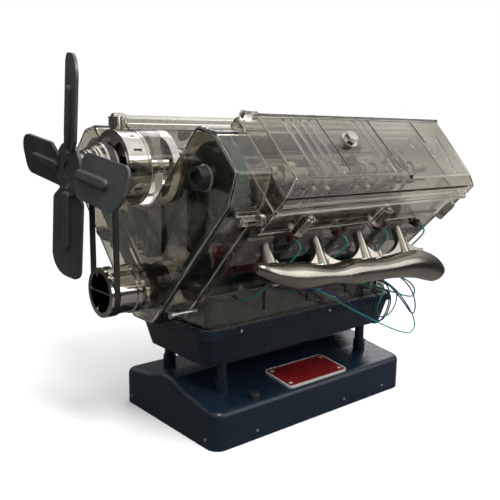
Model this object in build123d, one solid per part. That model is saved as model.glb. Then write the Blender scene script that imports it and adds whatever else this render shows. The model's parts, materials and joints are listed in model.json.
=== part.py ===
from build123d import *
import math
import os

os.makedirs("parts", exist_ok=True)

# A see-through V8 engine model on a stand, in millimetres.
# +X is the right bank, -Y the fan end, +Z up. The origin is the middle of the stand's underside.

# Engine layout
bank_tilt = 45
block_front = -92.5
block_back = 101.0
block_wall = 2.2
running_gap = 0.3
bearing_gap = 0.05
cut_overrun = 1.0

# Stand
base_width = 120.0
base_length = 200.0
base_edge_height = 27.0
base_slope_foot = 24.0
base_slope_height = 32.0
base_ridge_half = 7.0
base_ridge_height = 37.5
base_corner_radius = 9.0
base_edge_radius = 4.5
base_wall = 2.0
cover_plate_thickness = 2.0
cover_plate_height = 0
post_x = 33.5
post_y = 74.5
post_radius = 3.8
post_foot_height = 27.0
collar_radius = 4.95
collar_top = 39.5
button_edge_margin = 6.6
button_y = -60.0
button_radius = 3.9
button_top = 31.8
button_flange_radius = 4.4
button_flange_thickness = 1.2
button_flange_top = 23.2
button_travel = 1.5
plate_length = 63.0
plate_thickness = 1.2
plate_corner_radius = 4.0
plate_border_width = 1.4
plate_border_height = 0.4
plate_outer_margin = 3.0
plate_inner_margin = 2.0
plate_middle_y = 3.2
plate_rivet_radius = 1.5
plate_rivet_height = 0.5
plate_rivet_inset = 5.0

# Stand insides
cell_radius = 7.1
cell_length = 50.0
cell_tip_radius = 2.6
cell_tip_length = 1.2
cell_pitch = 14.8
cell_middle_share = -0.2
cell_middle_y = 18.0
door_margin = 4.0
board_length = 42.0
board_width = 24.0
board_thickness = 1.2
board_height = 13.0
board_post_radius = 2.0
speaker_radius = 16.0
speaker_depth = 6.0
speaker_x_share = 0.25
speaker_y = 30.0
switch_size = 6.0
chip_length = 7.2
chip_width = 4.8
chip_height = 1.2
chip_offset = 7.2

# Oil pan and lower crankcase
pan_half_width = 44.0
pan_front = -97.5
pan_back = 106.0
pan_depth = 20.0
pan_rim_height = 6.0
engine_clearance = 15.5
pan_corner_radius = 9.0
pan_body_inset = 1.5
pan_floor_inset = 6.0
skirt_half_width = 40.0
skirt_drop = 4.0
skirt_corner_radius = 6.0

# Cylinders and crank train
cylinder_pitch = 44.0
first_pin_y = -62.0
rod_offset = 4.0
bore_radius = 16.5
liner_wall = 1.6
liner_length = 32.0
deck_clearance = 2.0
deck_thickness = 3.0
block_half_width = 30.0
crank_throw = 12.0
rod_length = 46.0
rod_thickness = 7.4
rod_big_radius = 8.0
rod_small_radius = 5.0
rod_shank_width = 6.0
rod_shank_thickness = 4.0
rod_pocket_depth = 1.2
crankpin_radius = 4.0
gudgeon_radius = 2.5
piston_crown = 10.0
piston_skirt = 8.0
piston_wall = 1.8
piston_top_thickness = 3.0
piston_boss_radius = 4.6
ring_groove_depth = 0.5
ring_groove_width = 0.9
ring_groove_pitch = 2.0
journal_radius = 6.0
nose_radius = 5.0
web_thickness = 5.0
web_inner_offset = 8.5
web_pin_radius = 7.5
web_hub_radius = 9.0
counterweight_radius = 19.0
bulkhead_thickness = 3.6
bulkhead_drop = 22.5
crank_rest_angle = 20.0
pin_angles = (0, 90, 270, 180)

# Heads, covers and valve gear
head_half_width = 30.0
carrier_half_width = 33.5
head_height = 27.0
carrier_height = 20.0
chamber_radius = 14.0
chamber_depth = 4.0
head_floor_thickness = 3.0
cover_side_height = 12.5
cover_rise = 9.5
cover_edge_radius = 2.0
cover_lip_width = 1.2
cover_lip_height = 2.4
cover_ledge_width = 0.8
cover_ledge_height = 1.4
cover_ledge_rise = 6.4
cover_rail_radius = 2.0
cover_rail_end_radius = 3.4
cover_rail_end_length = 12.0
cover_rail_front = -96.0
cover_top_half_width = 26.0
cover_front_draft = 7.5
cover_back = 103.5
cover_back_inner_draft = 3.5
cover_back_outer_draft = 10.5
cover_wall = 2.0
cover_step_y = 25.0
cover_step_drop = 2.25
cover_step_across = -1.0
cover_rib_radius = 0.8
cover_bead_radius = 0.5
cover_bead_across = -6.0
cover_bead_front = 20.0
cover_bead_back = 46.0
cover_bead_end = 1.7
cover_rib_pitch = 7.6
cover_rib_first_y = -65.8
cover_rib_second_y = 0.0
cover_rib_half_length = 24.0
cover_rear_ribs = ((63.5, -24.0, 12.0), (82.0, -10.0, 13.0), (78.0, -2.0, 25.0))
cap_y = -18.0
cap_across = -4.7
cap_radius = 4.6
cap_height = 5.0
cap_flange_radius = 6.2
cap_flange_height = 1.2
ear_radius = 4.0
ear_overhang = 2.0
ear_drop = 3.0
ear_length = 15.0
ear_places = (-63.0, 13.0, 88.0)
screw_head_radius = 1.8
screw_head_height = 1.2
cam_drop = 10.0
cam_across = -5.0
cam_radius = 3.5
cam_back = 96.0
lobe_base_radius = 5.4
lobe_tip_radius = 3.0
lobe_lift = 2.5
lobe_width = 5.0
valve_spacing = 6.5
valve_head_radius = 5.0
valve_head_thickness = 1.5
valve_stem_radius = 1.2
valve_tip_radius = 2.2
valve_tip_height = 3.0
plug_radius = 2.6
plug_hex_radius = 3.2
plug_reach = 5.1
plug_hex_start = 4.4
plug_hex_end = 2.1
plug_outer_rise = 16.0
plug_inner_across = 9.0
plug_inner_rise = 3.0
port_offset = -20.0

# Front drive
timing_cover_front = -119.0
timing_cover_wall = 2.0
timing_inner_across = -32.0
timing_outer_across = 23.0
timing_top_margin = 25.5
timing_corner = 9.0
timing_round = 4.0
timing_edge_radius = 2.4
drum_clearance = 0.54
timing_boss_radius = 3.2
timing_boss_across = 29.0
timing_boss_front = -110.0
timing_boss_web = 2.4
timing_foot_radius = 25.0
timing_foot_half = 26.0
guide_radius = 7.0
guide_rise = 28.5
cam_pulley_radius = 19.5
cam_pulley_hub_radius = 7.0
cam_pulley_hub_front = -125.0
cam_hub_recess_radius = 4.4
cam_hub_recess_depth = 2.0
crank_timing_radius = 13.5
crank_timing_flange_radius = 15.5
timing_belt_front = -112.0
timing_belt_back = -104.0
timing_belt_thickness = 1.8
flange_thickness = 1.5
tooth_height = 1.0
tooth_share = 0.45
cam_teeth = 32
crank_pulley_front = -150.6
crank_pulley_radius = 16.9
crank_pulley_rim = 1.8
crank_groove_width = 4.4
crank_groove_radius = 15.0
crank_barrel_radius = 15.9
crank_ring_front = -131.0
crank_ring_back = -122.5
crank_ring_radius = 16.9
crank_neck_radius = 9.0
crank_hollow_radius = 13.4
crank_hollow_depth = 22.0
crank_bar_thickness = 1.0
crank_rib_length = 2.2
fan_rise = 81.8
fan_belt_thickness = 1.6
fan_belt_width = 3.6
fan_pulley_front = -164.0
fan_pulley_back = -141.0
fan_pulley_steps = 3
fan_pulley_nose_radius = 9.0
fan_shaft_radius = 3.0
drum_radius = 24.2
drum_front = -140.4
drum_back = -124.5
pump_back = -103.0
pump_radius = 25.3
pump_neck_radius = 12.0
pump_neck_back = -88.2
drum_slot_width = 2.5
drum_slot_length = 6.0
drum_slots = 12
drum_rim_radius = 24.9
drum_rim_width = 1.4
drum_front_dish_radius = 21.4
drum_front_dish_depth = 3.0

# Fan
fan_front = -170.4
fan_hub_radius = 17.0
fan_hub_thickness = 2.4
fan_tip_radius = 70.0
fan_root_radius = 12.0
fan_blade_lead = 14.4
fan_blade_trail = 14.2
fan_blade_shoulder = 7.0
fan_blade_foot_round = 1.0
fan_blade_shoulder_round = 4.0
fan_blade_lead_round = 6.5
fan_blade_trail_round = 15.0
fan_blade_thickness = 1.8
fan_blade_pitch = 12.5
fan_rest_turn = 7.5
fan_blades = 4
fan_rib_inner_radius = 17.0
fan_rib_outer_radius = 48.0
fan_rib_radius = 3.4
fan_rib_height = 2.6
fan_rib_edge_radius = 1.8
fan_centre_radius = 5.5
fan_centre_depth = 1.0
fan_screw_place = 11.1
fan_screw_radius = 2.0
fan_screw_height = 0.8
fan_screw_slot = 0.6

# Exhaust: the log's stations run from its front end to its outlet
exhaust_radius = 9.6
exhaust_wall = 1.6
exhaust_front_run = 17.0
exhaust_tip_run = 36.0
exhaust_tip_turn = 42
exhaust_rise = 11.5
exhaust_side = 93.5
exhaust_sag = 13.0
log_run_shares = (0.0, 0.0135, 0.05, 0.125, 0.245, 0.43, 0.62, 0.755, 0.84, 0.915, 1.0)
log_rise_shares = (1.08, 0.985, 0.8, 0.515, 0.265, 0.065, -0.035, -0.08, -0.145, -0.36, -0.92)
log_height_shares = (0.23, 0.46, 0.66, 0.84, 0.9, 0.88, 0.86, 0.98, 1.1, 1.12, 0.9)
log_width_shares = (0.31, 0.58, 0.81, 0.9, 0.94, 0.94, 0.94, 0.94, 0.96, 0.96, 0.92)
log_tilt_shares = (0.0, 0.0, 0.0, 0.0, 0.0, 0.0, 0.0, 0.0, 0.1, 0.5, 1.0)
runner_radius = 3.4
runner_root_radius = 5.2
runner_rise = 14.0
web_plate_thickness = 4.0
web_plate_height = 17.5
web_scallop_radius = 24.0
web_scallop_reach = 32.6
log_boss_radius = 3.2
log_boss_reach = 10.5
log_boss_places = (-30.5, 25.5)
flange_plate_thickness = 2.0
flange_plate_drop = 7.0
flange_plate_rise = 20.0
flange_screw_front = -13.0
flange_screw_back = 1.0
flange_screw_rear = 18.0
flange_screw_margin = 3.4
flange_screw_rise = 0.5
flange_tab_height = 9.0
flange_screw_radius = 1.8

# Intake manifold and filler
intake_front = -88.0
intake_back = 96.0
intake_foot_rise = 50.5
intake_shoulder_rise = 82.5
intake_top_rise = 88.5
intake_foot_half = 6.0
intake_top_half = 36.0
plenum_half = 24.0
plenum_height = 8.0
plenum_front = -70.0
plenum_back = 80.0
plenum_radius = 7.0
filler_x = -57.0
filler_y = -105.0
filler_radius = 5.4
filler_foot_rise = 99.5
filler_top_rise = 116.0
filler_bands = 7

# Rear drive
gear_module = 0.9
crank_gear_teeth = 74
pinion_teeth = 12
gear_front = 91.5
gear_back = 96.5
gear_backlash = 0.25
motor_radius = 11.0
motor_clearance = 2.6
motor_front = 58.0
motor_back = 86.0
motor_boss_radius = 3.5
motor_boss_length = 2.0
motor_shaft_radius = 1.0
rear_cover_thickness = 4.0
rear_cover_half_width = 30.0

# Small screws on the stand, the pan and the front
dot_radius = 1.1
dot_height = 0.4
stand_side_dots = (-62.5, 28.0, 74.5)
stand_dot_height = 6.5
stand_front_dot_x = 49.0
pan_side_dots = (-65.0, 25.0)
long_screw_x = 28.0
long_screw_drop = 15.5
long_screw_front = -114.0
long_screw_radius = 1.5
long_screw_head_radius = 2.6
long_screw_head_length = 2.4

# Ignition wires: routes as lists of places, each run joined to the next by an arc
wire_radius = 0.6
wire_arc_share = 0.45
teal_route = [(40, -14, 101), (50, -14, 101), (59, -8, 101.5), (64, 6, 93), (64, 30, 79.5), (64, 55, 67),
              (65, 78, 56), (66, 92, 50.5), (66, 101.5, 48), (66, 107.5, 51.5), (65.5, 107.5, 58.5),
              (64.5, 103, 67), (62.5, 95, 78), (58, 86, 89), (50, 78, 96), (40, 78, 96)]
blue_route = [(40, -8, 98), (50, -8, 98), (57, 0, 98.5), (58.5, 12, 94), (58.5, 30, 85), (58.5, 45, 73.5),
              (58.5, 55.5, 64.5), (58.5, 65.5, 60.8), (58.3, 75.5, 65.3), (57.5, 82, 75), (55.5, 85, 86),
              (49, 84.5, 92.5), (40, 84.5, 92.5)]
loop_route = [(40, 88, 88), (47, 88, 88), (51.5, 82, 83.5), (52.5, 75, 77), (52.5, 72, 70), (52.5, 76, 64),
              (52.5, 84.5, 62), (52.5, 93, 65.5), (52.5, 98.5, 72.5), (52, 99.5, 81.5), (47, 97, 87),
              (40, 97, 87)]
blue_loop_route = [(40, 56, 99), (50, 56, 99), (61, 58, 100), (70, 63, 97), (71, 73, 88.5), (71, 84, 78.5),
                   (71, 93, 69), (71, 98.5, 66.5), (70.5, 101, 73), (70, 98, 83), (67, 93.5, 92), (59, 90, 98.5),
                   (50, 90, 100), (40, 90, 100)]
blue_low_route = [(40, 80, 85), (47.5, 80, 85), (48.5, 76.5, 78), (48.2, 73, 69), (48, 75.5, 61),
                  (48, 82.5, 57.5), (48, 90, 59.5), (48, 95, 66.5), (48.5, 96.5, 75), (48.5, 93, 82),
                  (40, 93, 84)]
teal_high_route = [(40, 62, 92), (50, 62, 92), (62, 64, 92), (74, 70, 89), (77, 80, 85.5), (77, 88.5, 84.5),
                   (75.5, 92, 90), (70, 89, 96.5), (61, 84, 99.5), (50, 82, 101.5), (40, 82, 101.5)]
lead_first_run = 4.5
lead_route = [(93.2, 1.0, 140.5), (88.5, 0.5, 134.5), (79, -1, 125), (63.5, -3.5, 109.5), (49.5, -6, 98),
              (40, -6, 98)]

# Sizes that follow from the ones above
sine = math.sin(math.radians(bank_tilt))
cosine = math.cos(math.radians(bank_tilt))
button_x = base_width / 2 - button_edge_margin
plate_width = base_width / 2 - base_slope_foot - plate_inner_margin - plate_outer_margin
plate_middle_x = base_width / 2 - plate_outer_margin - plate_width / 2
cell_middle_x = base_width * cell_middle_share
speaker_x = base_width * speaker_x_share
pan_floor = base_ridge_height + engine_clearance
pan_rim_bottom = pan_floor + pan_depth
pan_rim_top = pan_rim_bottom + pan_rim_height
motor_height = pan_floor + block_wall + motor_clearance + motor_radius
crank_height = motor_height + gear_module * (crank_gear_teeth + pinion_teeth) / 2
skirt_top = crank_height - skirt_drop
bulkhead_foot = crank_height - bulkhead_drop
deck_height = crank_throw + rod_length + piston_crown + deck_clearance
liner_foot = deck_height - liner_length
carrier_foot = deck_height + head_height
carrier_top = carrier_foot + carrier_height
cover_shoulder = carrier_top + cover_side_height
cover_top = cover_shoulder + cover_rise
ear_across = carrier_half_width + ear_overhang
ear_top = carrier_top - ear_drop
ear_foot = ear_top - ear_length
cam_along = carrier_top - cam_drop
plug_outer_across = head_half_width
plug_outer_along = deck_height + plug_outer_rise
plug_inner_along = deck_height + plug_inner_rise
timing_top = cam_along + timing_top_margin
guide_height = crank_height + guide_rise
fan_height = crank_height + fan_rise
runner_along = deck_height + runner_rise
flange_plate_foot = deck_height - flange_plate_drop
flange_plate_top = deck_height + flange_plate_rise
flange_screw_along = deck_height + flange_screw_rise
intake_foot = crank_height + intake_foot_rise
intake_shoulder = crank_height + intake_shoulder_rise
intake_top = crank_height + intake_top_rise
plenum_top = intake_top + plenum_height
filler_foot = crank_height + filler_foot_rise
filler_top = crank_height + filler_top_rise
cylinder_count = 4
pin_places = [first_pin_y + index * cylinder_pitch for index in range(cylinder_count)]
right_cylinders = [y + rod_offset for y in pin_places]
left_cylinders = [y - rod_offset for y in pin_places]
liner_radius = bore_radius + liner_wall
piston_radius = bore_radius - running_gap


def box(x0, x1, y0, y1, z0, z1):
    """A block between two opposite corners."""
    return Pos((x0 + x1) / 2, (y0 + y1) / 2, (z0 + z1) / 2) * Box(x1 - x0, y1 - y0, z1 - z0)


def y_rod(radius, y0, y1, x=0, z=0):
    """A round bar along Y."""
    return Pos(x, (y0 + y1) / 2, z) * Rot(90, 0, 0) * Cylinder(radius, y1 - y0)


def z_rod(radius, z0, z1, x=0, y=0):
    """A round bar along Z."""
    return Pos(x, y, (z0 + z1) / 2) * Cylinder(radius, z1 - z0)


def x_rod(radius, x0, x1, y=0, z=0):
    """A round bar along X."""
    return Pos((x0 + x1) / 2, y, z) * Rot(0, 90, 0) * Cylinder(radius, x1 - x0)


def rod_between(radius, start, end):
    """A round bar from one place to another."""
    axis = Vector(*end) - Vector(*start)
    return Plane(origin=start, z_dir=axis) * extrude(Circle(radius), amount=axis.length)


def y_prism(points, y0, y1):
    """A prism along Y from an outline of (x, z) points."""
    outline = Polyline(*[(x, y0, z) for x, z in points], close=True)
    return extrude(make_face(outline.edges()), amount=y1 - y0, dir=(0, 1, 0))


def soft_prism(points, radii, y0, y1):
    """A prism along Y whose corners are rounded."""
    outline = FilletPolyline(*[(x, y0, z) for x, z in points], radius=radii, close=True)
    return extrude(make_face(outline.edges()), amount=y1 - y0, dir=(0, 1, 0))


def mirrored(points):
    """An outline's right half, bottom to top, closed by its reflection."""
    return list(points) + [(-x, z) for x, z in reversed(points) if x != 0]


def bank_point(across, along):
    """(x, z) of a place on the right bank: across from its axis, along from the crank."""
    return along * sine + across * cosine, crank_height + along * cosine - across * sine


def right(shape):
    """A piece drawn in the bank's own frame (X across, Z along), put on the right bank."""
    return Pos(0, 0, crank_height) * Rot(0, bank_tilt, 0) * shape


def left(shape):
    """The same on the left bank."""
    return mirror(right(shape), about=Plane.YZ)


def joined(shapes):
    """One solid from several touching ones."""
    shapes = list(shapes)
    return shapes[0].fuse(*shapes[1:]) if len(shapes) > 1 else shapes[0]


def group(shapes):
    """Separate solids kept together."""
    return Compound(children=[solid for shape in shapes for solid in shape.solids()])


def save(shape, name):
    export_step(shape, "parts/" + name + ".step")


def rounded_box(half_width, y0, y1, z0, z1, radius):
    """A block with rounded upright corners, centred on X."""
    sketch = Pos(0, (y0 + y1) / 2, z0) * RectangleRounded(2 * half_width, y1 - y0, radius)
    return extrude(sketch, amount=z1 - z0)


# Stand shell

deck_slope = (base_slope_height - base_edge_height) / (base_width / 2 - base_slope_foot)
deck_angle = math.degrees(math.atan(deck_slope))


def deck_height_at(x):
    """Height of the sloping deck beside the ridge."""
    return base_edge_height + (base_width / 2 - abs(x)) * deck_slope


def stand_profile(inset):
    """The stand's outline seen from the front, drawn in by a wall."""
    half = base_width / 2 - inset
    return mirrored([(half, 0), (half, base_edge_height - inset),
                     (base_slope_foot, base_slope_height - inset),
                     (base_ridge_half, base_ridge_height - inset)])


def stand_body(inset, corner_radius):
    half_length = base_length / 2 - inset
    profile = y_prism(stand_profile(inset), -half_length, half_length)
    plan = rounded_box(base_width / 2 - inset, -half_length, half_length, 0, base_ridge_height, corner_radius)
    return profile & plan


def build_base_shell():
    outer = stand_body(0, base_corner_radius)
    low = base_edge_height - base_edge_radius
    top_edges = [edge for edge in outer.edges() if edge.center().Z > low
                 and abs(edge.center().X) + abs(edge.center().Y) > base_width / 2 - base_corner_radius
                 and edge.bounding_box().max.Z - edge.bounding_box().min.Z < base_ridge_height - low
                 and edge.length > base_edge_radius
                 and not (abs(edge.center().X) < base_width / 2 - base_corner_radius
                          and abs(edge.center().Y) < base_edge_radius)]
    outer = fillet(top_edges, base_edge_radius)
    shell = outer - stand_body(base_wall, base_corner_radius - base_wall)
    for x in (-post_x, post_x):
        for y in (-post_y, post_y):
            shell += z_rod(collar_radius, deck_height_at(x) - base_wall - post_radius, collar_top, x, y)
            shell -= z_rod(post_radius + bearing_gap, post_foot_height, collar_top + cut_overrun, x, y)
    shell -= z_rod(button_radius + running_gap, 0, base_ridge_height, button_x, button_y)
    return shell


def build_posts():
    return group([z_rod(post_radius, post_foot_height, pan_floor, x, y)
                  for x in (-post_x, post_x) for y in (-post_y, post_y)])


cell_deck = cover_plate_height + cover_plate_thickness
door_half_x = 1.5 * cell_pitch + door_margin
door_half_y = cell_length / 2 + door_margin


def door_block(gap):
    half_x = door_half_x - gap
    half_y = door_half_y - gap
    return box(cell_middle_x - half_x, cell_middle_x + half_x, cell_middle_y - half_y, cell_middle_y + half_y,
               cover_plate_height, cell_deck)


def build_bottom_cover():
    """The stand's floor and, in it, the battery door."""
    inset = base_wall + running_gap
    plate = rounded_box(base_width / 2 - inset, -base_length / 2 + inset, base_length / 2 - inset,
                        cover_plate_height, cell_deck, base_corner_radius - inset)
    for offset in (-2, -1, 0, 1, 2):
        y = speaker_y + offset * speaker_depth
        plate -= box(speaker_x - speaker_radius / 2, speaker_x + speaker_radius / 2,
                     y - running_gap * 3, y + running_gap * 3, 0, cell_deck + cut_overrun)
    plate -= door_block(0)
    return group([plate, door_block(running_gap)])


def build_batteries():
    cells = []
    for index in (-1, 0, 1):
        x = cell_middle_x + index * cell_pitch
        y = cell_middle_y + index % 2 * cell_tip_length / 2
        z = cell_deck + cell_radius
        body = y_rod(cell_radius, y - cell_length / 2, y + cell_length / 2, x, z)
        end = 1 if index == 0 else -1
        tip_from, tip_to = sorted((y + end * cell_length / 2, y + end * (cell_length / 2 + cell_tip_length)))
        cells.append(body + y_rod(cell_tip_radius, tip_from, tip_to, x, z))
    return group(cells)


def build_sound_board():
    """The circuit board on its pillars, the switch under the button, and the loudspeaker."""
    middle_x = base_width / 2 - base_wall - 2 * running_gap - board_width / 2
    board = box(middle_x - board_width / 2, middle_x + board_width / 2,
                button_y - board_length / 2, button_y + board_length / 2,
                board_height, board_height + board_thickness)
    for side_x in (-1, 1):
        for side_y in (-1, 1):
            board += z_rod(board_post_radius, cell_deck, board_height,
                           middle_x + side_x * (board_width / 2 - 2 * board_post_radius),
                           button_y + side_y * (board_length / 2 - 2 * board_post_radius))
    switch_top = button_flange_top - button_flange_thickness - button_travel - running_gap
    board += box(button_x - switch_size / 2, button_x + switch_size / 2,
                 button_y - switch_size / 2, button_y + switch_size / 2,
                 board_height + board_thickness, switch_top)
    board += box(middle_x - chip_length / 2, middle_x + chip_length / 2, button_y + chip_offset,
                 button_y + chip_offset + chip_width, board_height + board_thickness,
                 board_height + board_thickness + chip_height)
    cone = z_rod(speaker_radius, cell_deck, cell_deck + speaker_depth / 2, speaker_x, speaker_y)
    cone += z_rod(speaker_radius / 2, cell_deck + speaker_depth / 2, cell_deck + speaker_depth, speaker_x, speaker_y)
    return group([board, cone])


def build_button():
    cap = z_rod(button_radius, button_flange_top - button_flange_thickness, button_top, button_x, button_y)
    cap = fillet(cap.edges().group_by(Axis.Z)[-1], button_radius / 6)
    flange = z_rod(button_flange_radius, button_flange_top - button_flange_thickness, button_flange_top,
                   button_x, button_y)
    return cap + flange


def build_name_plate():
    """The name plate with its raised border and four rivets, lying on the sloping deck."""
    body = extrude(RectangleRounded(plate_width, plate_length, plate_corner_radius), amount=plate_thickness)
    border = RectangleRounded(plate_width, plate_length, plate_corner_radius)
    border -= RectangleRounded(plate_width - 2 * plate_border_width, plate_length - 2 * plate_border_width,
                               plate_corner_radius - plate_border_width)
    body += Pos(0, 0, plate_thickness) * extrude(border, amount=plate_border_height)
    for side_x in (-1, 1):
        for side_y in (-1, 1):
            body += z_rod(plate_rivet_radius, 0, plate_thickness + plate_rivet_height,
                          side_x * (plate_width / 2 - plate_rivet_inset),
                          side_y * (plate_length / 2 - plate_rivet_inset))
    place = Pos(plate_middle_x, plate_middle_y, deck_height_at(plate_middle_x)) * Rot(0, deck_angle, 0)
    return place * body


# Oil pan and lower crankcase

def pan_shape(inset, top, bottom):
    """The pan's tapered body between two heights."""
    upper = pan_body_inset + inset
    lower = pan_floor_inset + inset
    middle = (pan_front + pan_back) / 2
    length = pan_back - pan_front
    high = Pos(0, middle, top) * RectangleRounded(2 * (pan_half_width - upper), length - 2 * upper,
                                                  pan_corner_radius - inset)
    low = Pos(0, middle, bottom) * RectangleRounded(2 * (pan_half_width - lower), length - 2 * lower,
                                                    pan_corner_radius - inset)
    return loft([high, low])


def build_oil_pan():
    pan = rounded_box(pan_half_width, pan_front, pan_back, pan_rim_bottom, pan_rim_top, pan_corner_radius)
    pan += pan_shape(0, pan_rim_bottom, pan_floor)
    pan -= pan_shape(block_wall, pan_rim_bottom, pan_floor + block_wall)
    opening = skirt_half_width - block_wall
    pan -= rounded_box(opening, block_front + block_wall, block_back - block_wall,
                       pan_rim_bottom - cut_overrun, pan_rim_top + cut_overrun, skirt_corner_radius - block_wall)
    return pan


def bulkhead_places():
    """Middle planes of the crank's inner and rear bearing walls."""
    inner = [y + cylinder_pitch / 2 for y in pin_places[:-1]]
    return inner + [pin_places[-1] + web_inner_offset + web_thickness + bulkhead_thickness / 2 + running_gap]


def crank_bore():
    return y_rod(journal_radius + bearing_gap, block_front - cut_overrun, block_back + cut_overrun, 0, crank_height)


def build_crankcase_lower():
    case = rounded_box(skirt_half_width, block_front, block_back, pan_rim_top, skirt_top, skirt_corner_radius)
    inner = skirt_half_width - block_wall
    case -= rounded_box(inner, block_front + block_wall, block_back - block_wall,
                        pan_rim_top - cut_overrun, skirt_top + cut_overrun, skirt_corner_radius - block_wall)
    for y in bulkhead_places():
        case += box(-inner, inner, y - bulkhead_thickness / 2, y + bulkhead_thickness / 2, bulkhead_foot, skirt_top)
    return case - crank_bore()


# Block

def block_outline(inset, deck_inset):
    """The V block seen from the front, as (x, z) points."""
    half = block_half_width - inset
    deck = deck_height - deck_inset
    return mirrored([(half / sine + skirt_top - crank_height, skirt_top), bank_point(half, deck),
                     bank_point(-half, deck),
                     (0, crank_height + half / sine)])


def both_banks(maker):
    """The same shape for every cylinder, right bank then left."""
    return [right(maker(y)) for y in right_cylinders] + [left(maker(y)) for y in left_cylinders]


def block_bore(y):
    """Room for a liner and, below it, for the piston's skirt."""
    seat = z_rod(liner_radius + bearing_gap, liner_foot - running_gap, deck_height + cut_overrun, 0, y)
    return seat + z_rod(bore_radius + running_gap, counterweight_radius, liner_foot, 0, y)


def build_block():
    block = y_prism(block_outline(0, 0), block_front, block_back)
    cavity = y_prism(block_outline(block_wall, deck_thickness), block_front + block_wall, block_back - block_wall)
    block = block - cavity
    web = y_prism(block_outline(block_wall, deck_thickness), -bulkhead_thickness / 2, bulkhead_thickness / 2)
    for y in bulkhead_places():
        block += Pos(0, y, 0) * web
    for hole in both_banks(block_bore):
        block -= hole
    return block - crank_bore()


def build_liners():
    def liner(y):
        tube = z_rod(liner_radius, liner_foot, deck_height, 0, y)
        return tube - z_rod(bore_radius, liner_foot - cut_overrun, deck_height + cut_overrun, 0, y)
    return group(both_banks(liner))


# Crank train

def crank_angle(index):
    return math.radians(crank_rest_angle + pin_angles[index])


def pin_centre(index):
    """(x, z) of a crankpin at rest."""
    angle = crank_angle(index)
    return crank_throw * math.sin(angle), crank_height + crank_throw * math.cos(angle)


def pin_bank_frame(index, side):
    """The crankpin's place across and along a bank."""
    x, z = pin_centre(index)
    x = x * side
    rise = z - crank_height
    return x * cosine - rise * sine, x * sine + rise * cosine


def gudgeon_height(index, side):
    """How far along its bank a piston's gudgeon pin stands at rest."""
    across, along = pin_bank_frame(index, side)
    return along + math.sqrt(rod_length ** 2 - across ** 2)


def web(index):
    """One crank web, drawn at y = 0 and spreading to +Y."""
    x, z = pin_centre(index)
    body = y_rod(web_pin_radius, 0, web_thickness, x, z)
    body += y_rod(web_hub_radius, 0, web_thickness, 0, crank_height)
    reach = math.degrees(crank_angle(index))
    arm = box(-web_pin_radius, web_pin_radius, 0, web_thickness, 0, crank_throw)
    body += Pos(0, 0, crank_height) * Rot(0, reach, 0) * arm
    weight = y_rod(counterweight_radius, 0, web_thickness)
    weight -= box(-counterweight_radius - cut_overrun, counterweight_radius + cut_overrun, -cut_overrun,
                  web_thickness + cut_overrun, 0, counterweight_radius + cut_overrun)
    return body + Pos(0, 0, crank_height) * Rot(0, reach, 0) * weight


nose_front = crank_pulley_front + crank_hollow_depth
rear_end = block_back - block_wall / 2


def build_crankshaft():
    """Webs and main journals. The crankpins ride with the rods."""
    pieces = [y_rod(nose_radius, nose_front, block_front, 0, crank_height)]
    journal_from = block_front
    for index, y in enumerate(pin_places):
        near = y - web_inner_offset - web_thickness
        pieces.append(y_rod(journal_radius, journal_from, near, 0, crank_height))
        pieces.append(Pos(0, near, 0) * web(index))
        pieces.append(Pos(0, y + web_inner_offset, 0) * web(index))
        journal_from = y + web_inner_offset + web_thickness
    pieces.append(y_rod(journal_radius, journal_from, rear_end, 0, crank_height))
    return joined(pieces)


def build_piston(y, height):
    """A hollow piston and its gudgeon pin, in the bank's frame."""
    crown = height + piston_crown
    foot = height - piston_skirt
    body = z_rod(piston_radius, foot, crown, 0, y)
    body -= z_rod(piston_radius - piston_wall, foot - cut_overrun, crown - piston_top_thickness, 0, y)
    boss_half = rod_thickness / 2 + running_gap
    inner = piston_radius - piston_wall / 2
    boss = y_rod(piston_boss_radius, y - inner, y + inner, 0, height)
    boss += box(-piston_boss_radius, piston_boss_radius, y - inner, y + inner, height, crown - piston_top_thickness)
    boss &= z_rod(inner, foot, crown, 0, y)
    boss -= box(-piston_radius, piston_radius, y - boss_half, y + boss_half, foot - cut_overrun, crown)
    body += boss
    pin_half = piston_radius - piston_wall
    body -= y_rod(gudgeon_radius, y - pin_half, y + pin_half, 0, height)
    for ring in range(3):
        top = crown - ring_groove_pitch * (ring + 1) + ring_groove_width
        groove = z_rod(piston_radius + cut_overrun, top - ring_groove_width, top, 0, y)
        groove -= z_rod(piston_radius - ring_groove_depth, top - ring_groove_width, top, 0, y)
        body -= groove
    pin = y_rod(gudgeon_radius, y - pin_half, y + pin_half, 0, height)
    return group([body, pin])


def build_rod(y, height, index, side):
    """A connecting rod with its half of the crankpin, in the bank's frame."""
    across, along = pin_bank_frame(index, side)
    half = rod_thickness / 2
    rod = y_rod(rod_big_radius, y - half, y + half, across, along)
    rod += y_rod(rod_small_radius, y - half, y + half, 0, height)
    lean = math.degrees(math.atan2(across, height - along))
    shank = box(-rod_shank_width / 2, rod_shank_width / 2, -rod_shank_thickness / 2, rod_shank_thickness / 2,
                -rod_length + rod_big_radius / 2, -rod_small_radius / 2)
    flange_half = rod_shank_thickness / 2 + rod_pocket_depth
    for edge in (-1, 1):
        middle = edge * (rod_shank_width / 2 - rod_pocket_depth / 2)
        shank += box(middle - rod_pocket_depth / 2, middle + rod_pocket_depth / 2, -flange_half, flange_half,
                     -rod_length + rod_big_radius / 2, -rod_small_radius / 2)
    rod += Pos(0, y, height) * Rot(0, -lean, 0) * shank
    rod -= y_rod(gudgeon_radius + bearing_gap, y - half - cut_overrun, y + half + cut_overrun, 0, height)
    outward = web_inner_offset - running_gap - rod_offset
    reach = (y - outward, y) if side < 0 else (y, y + outward)
    stub = y_rod(crankpin_radius, reach[0], reach[1], across, along)
    return rod + stub


# Heads

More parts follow.
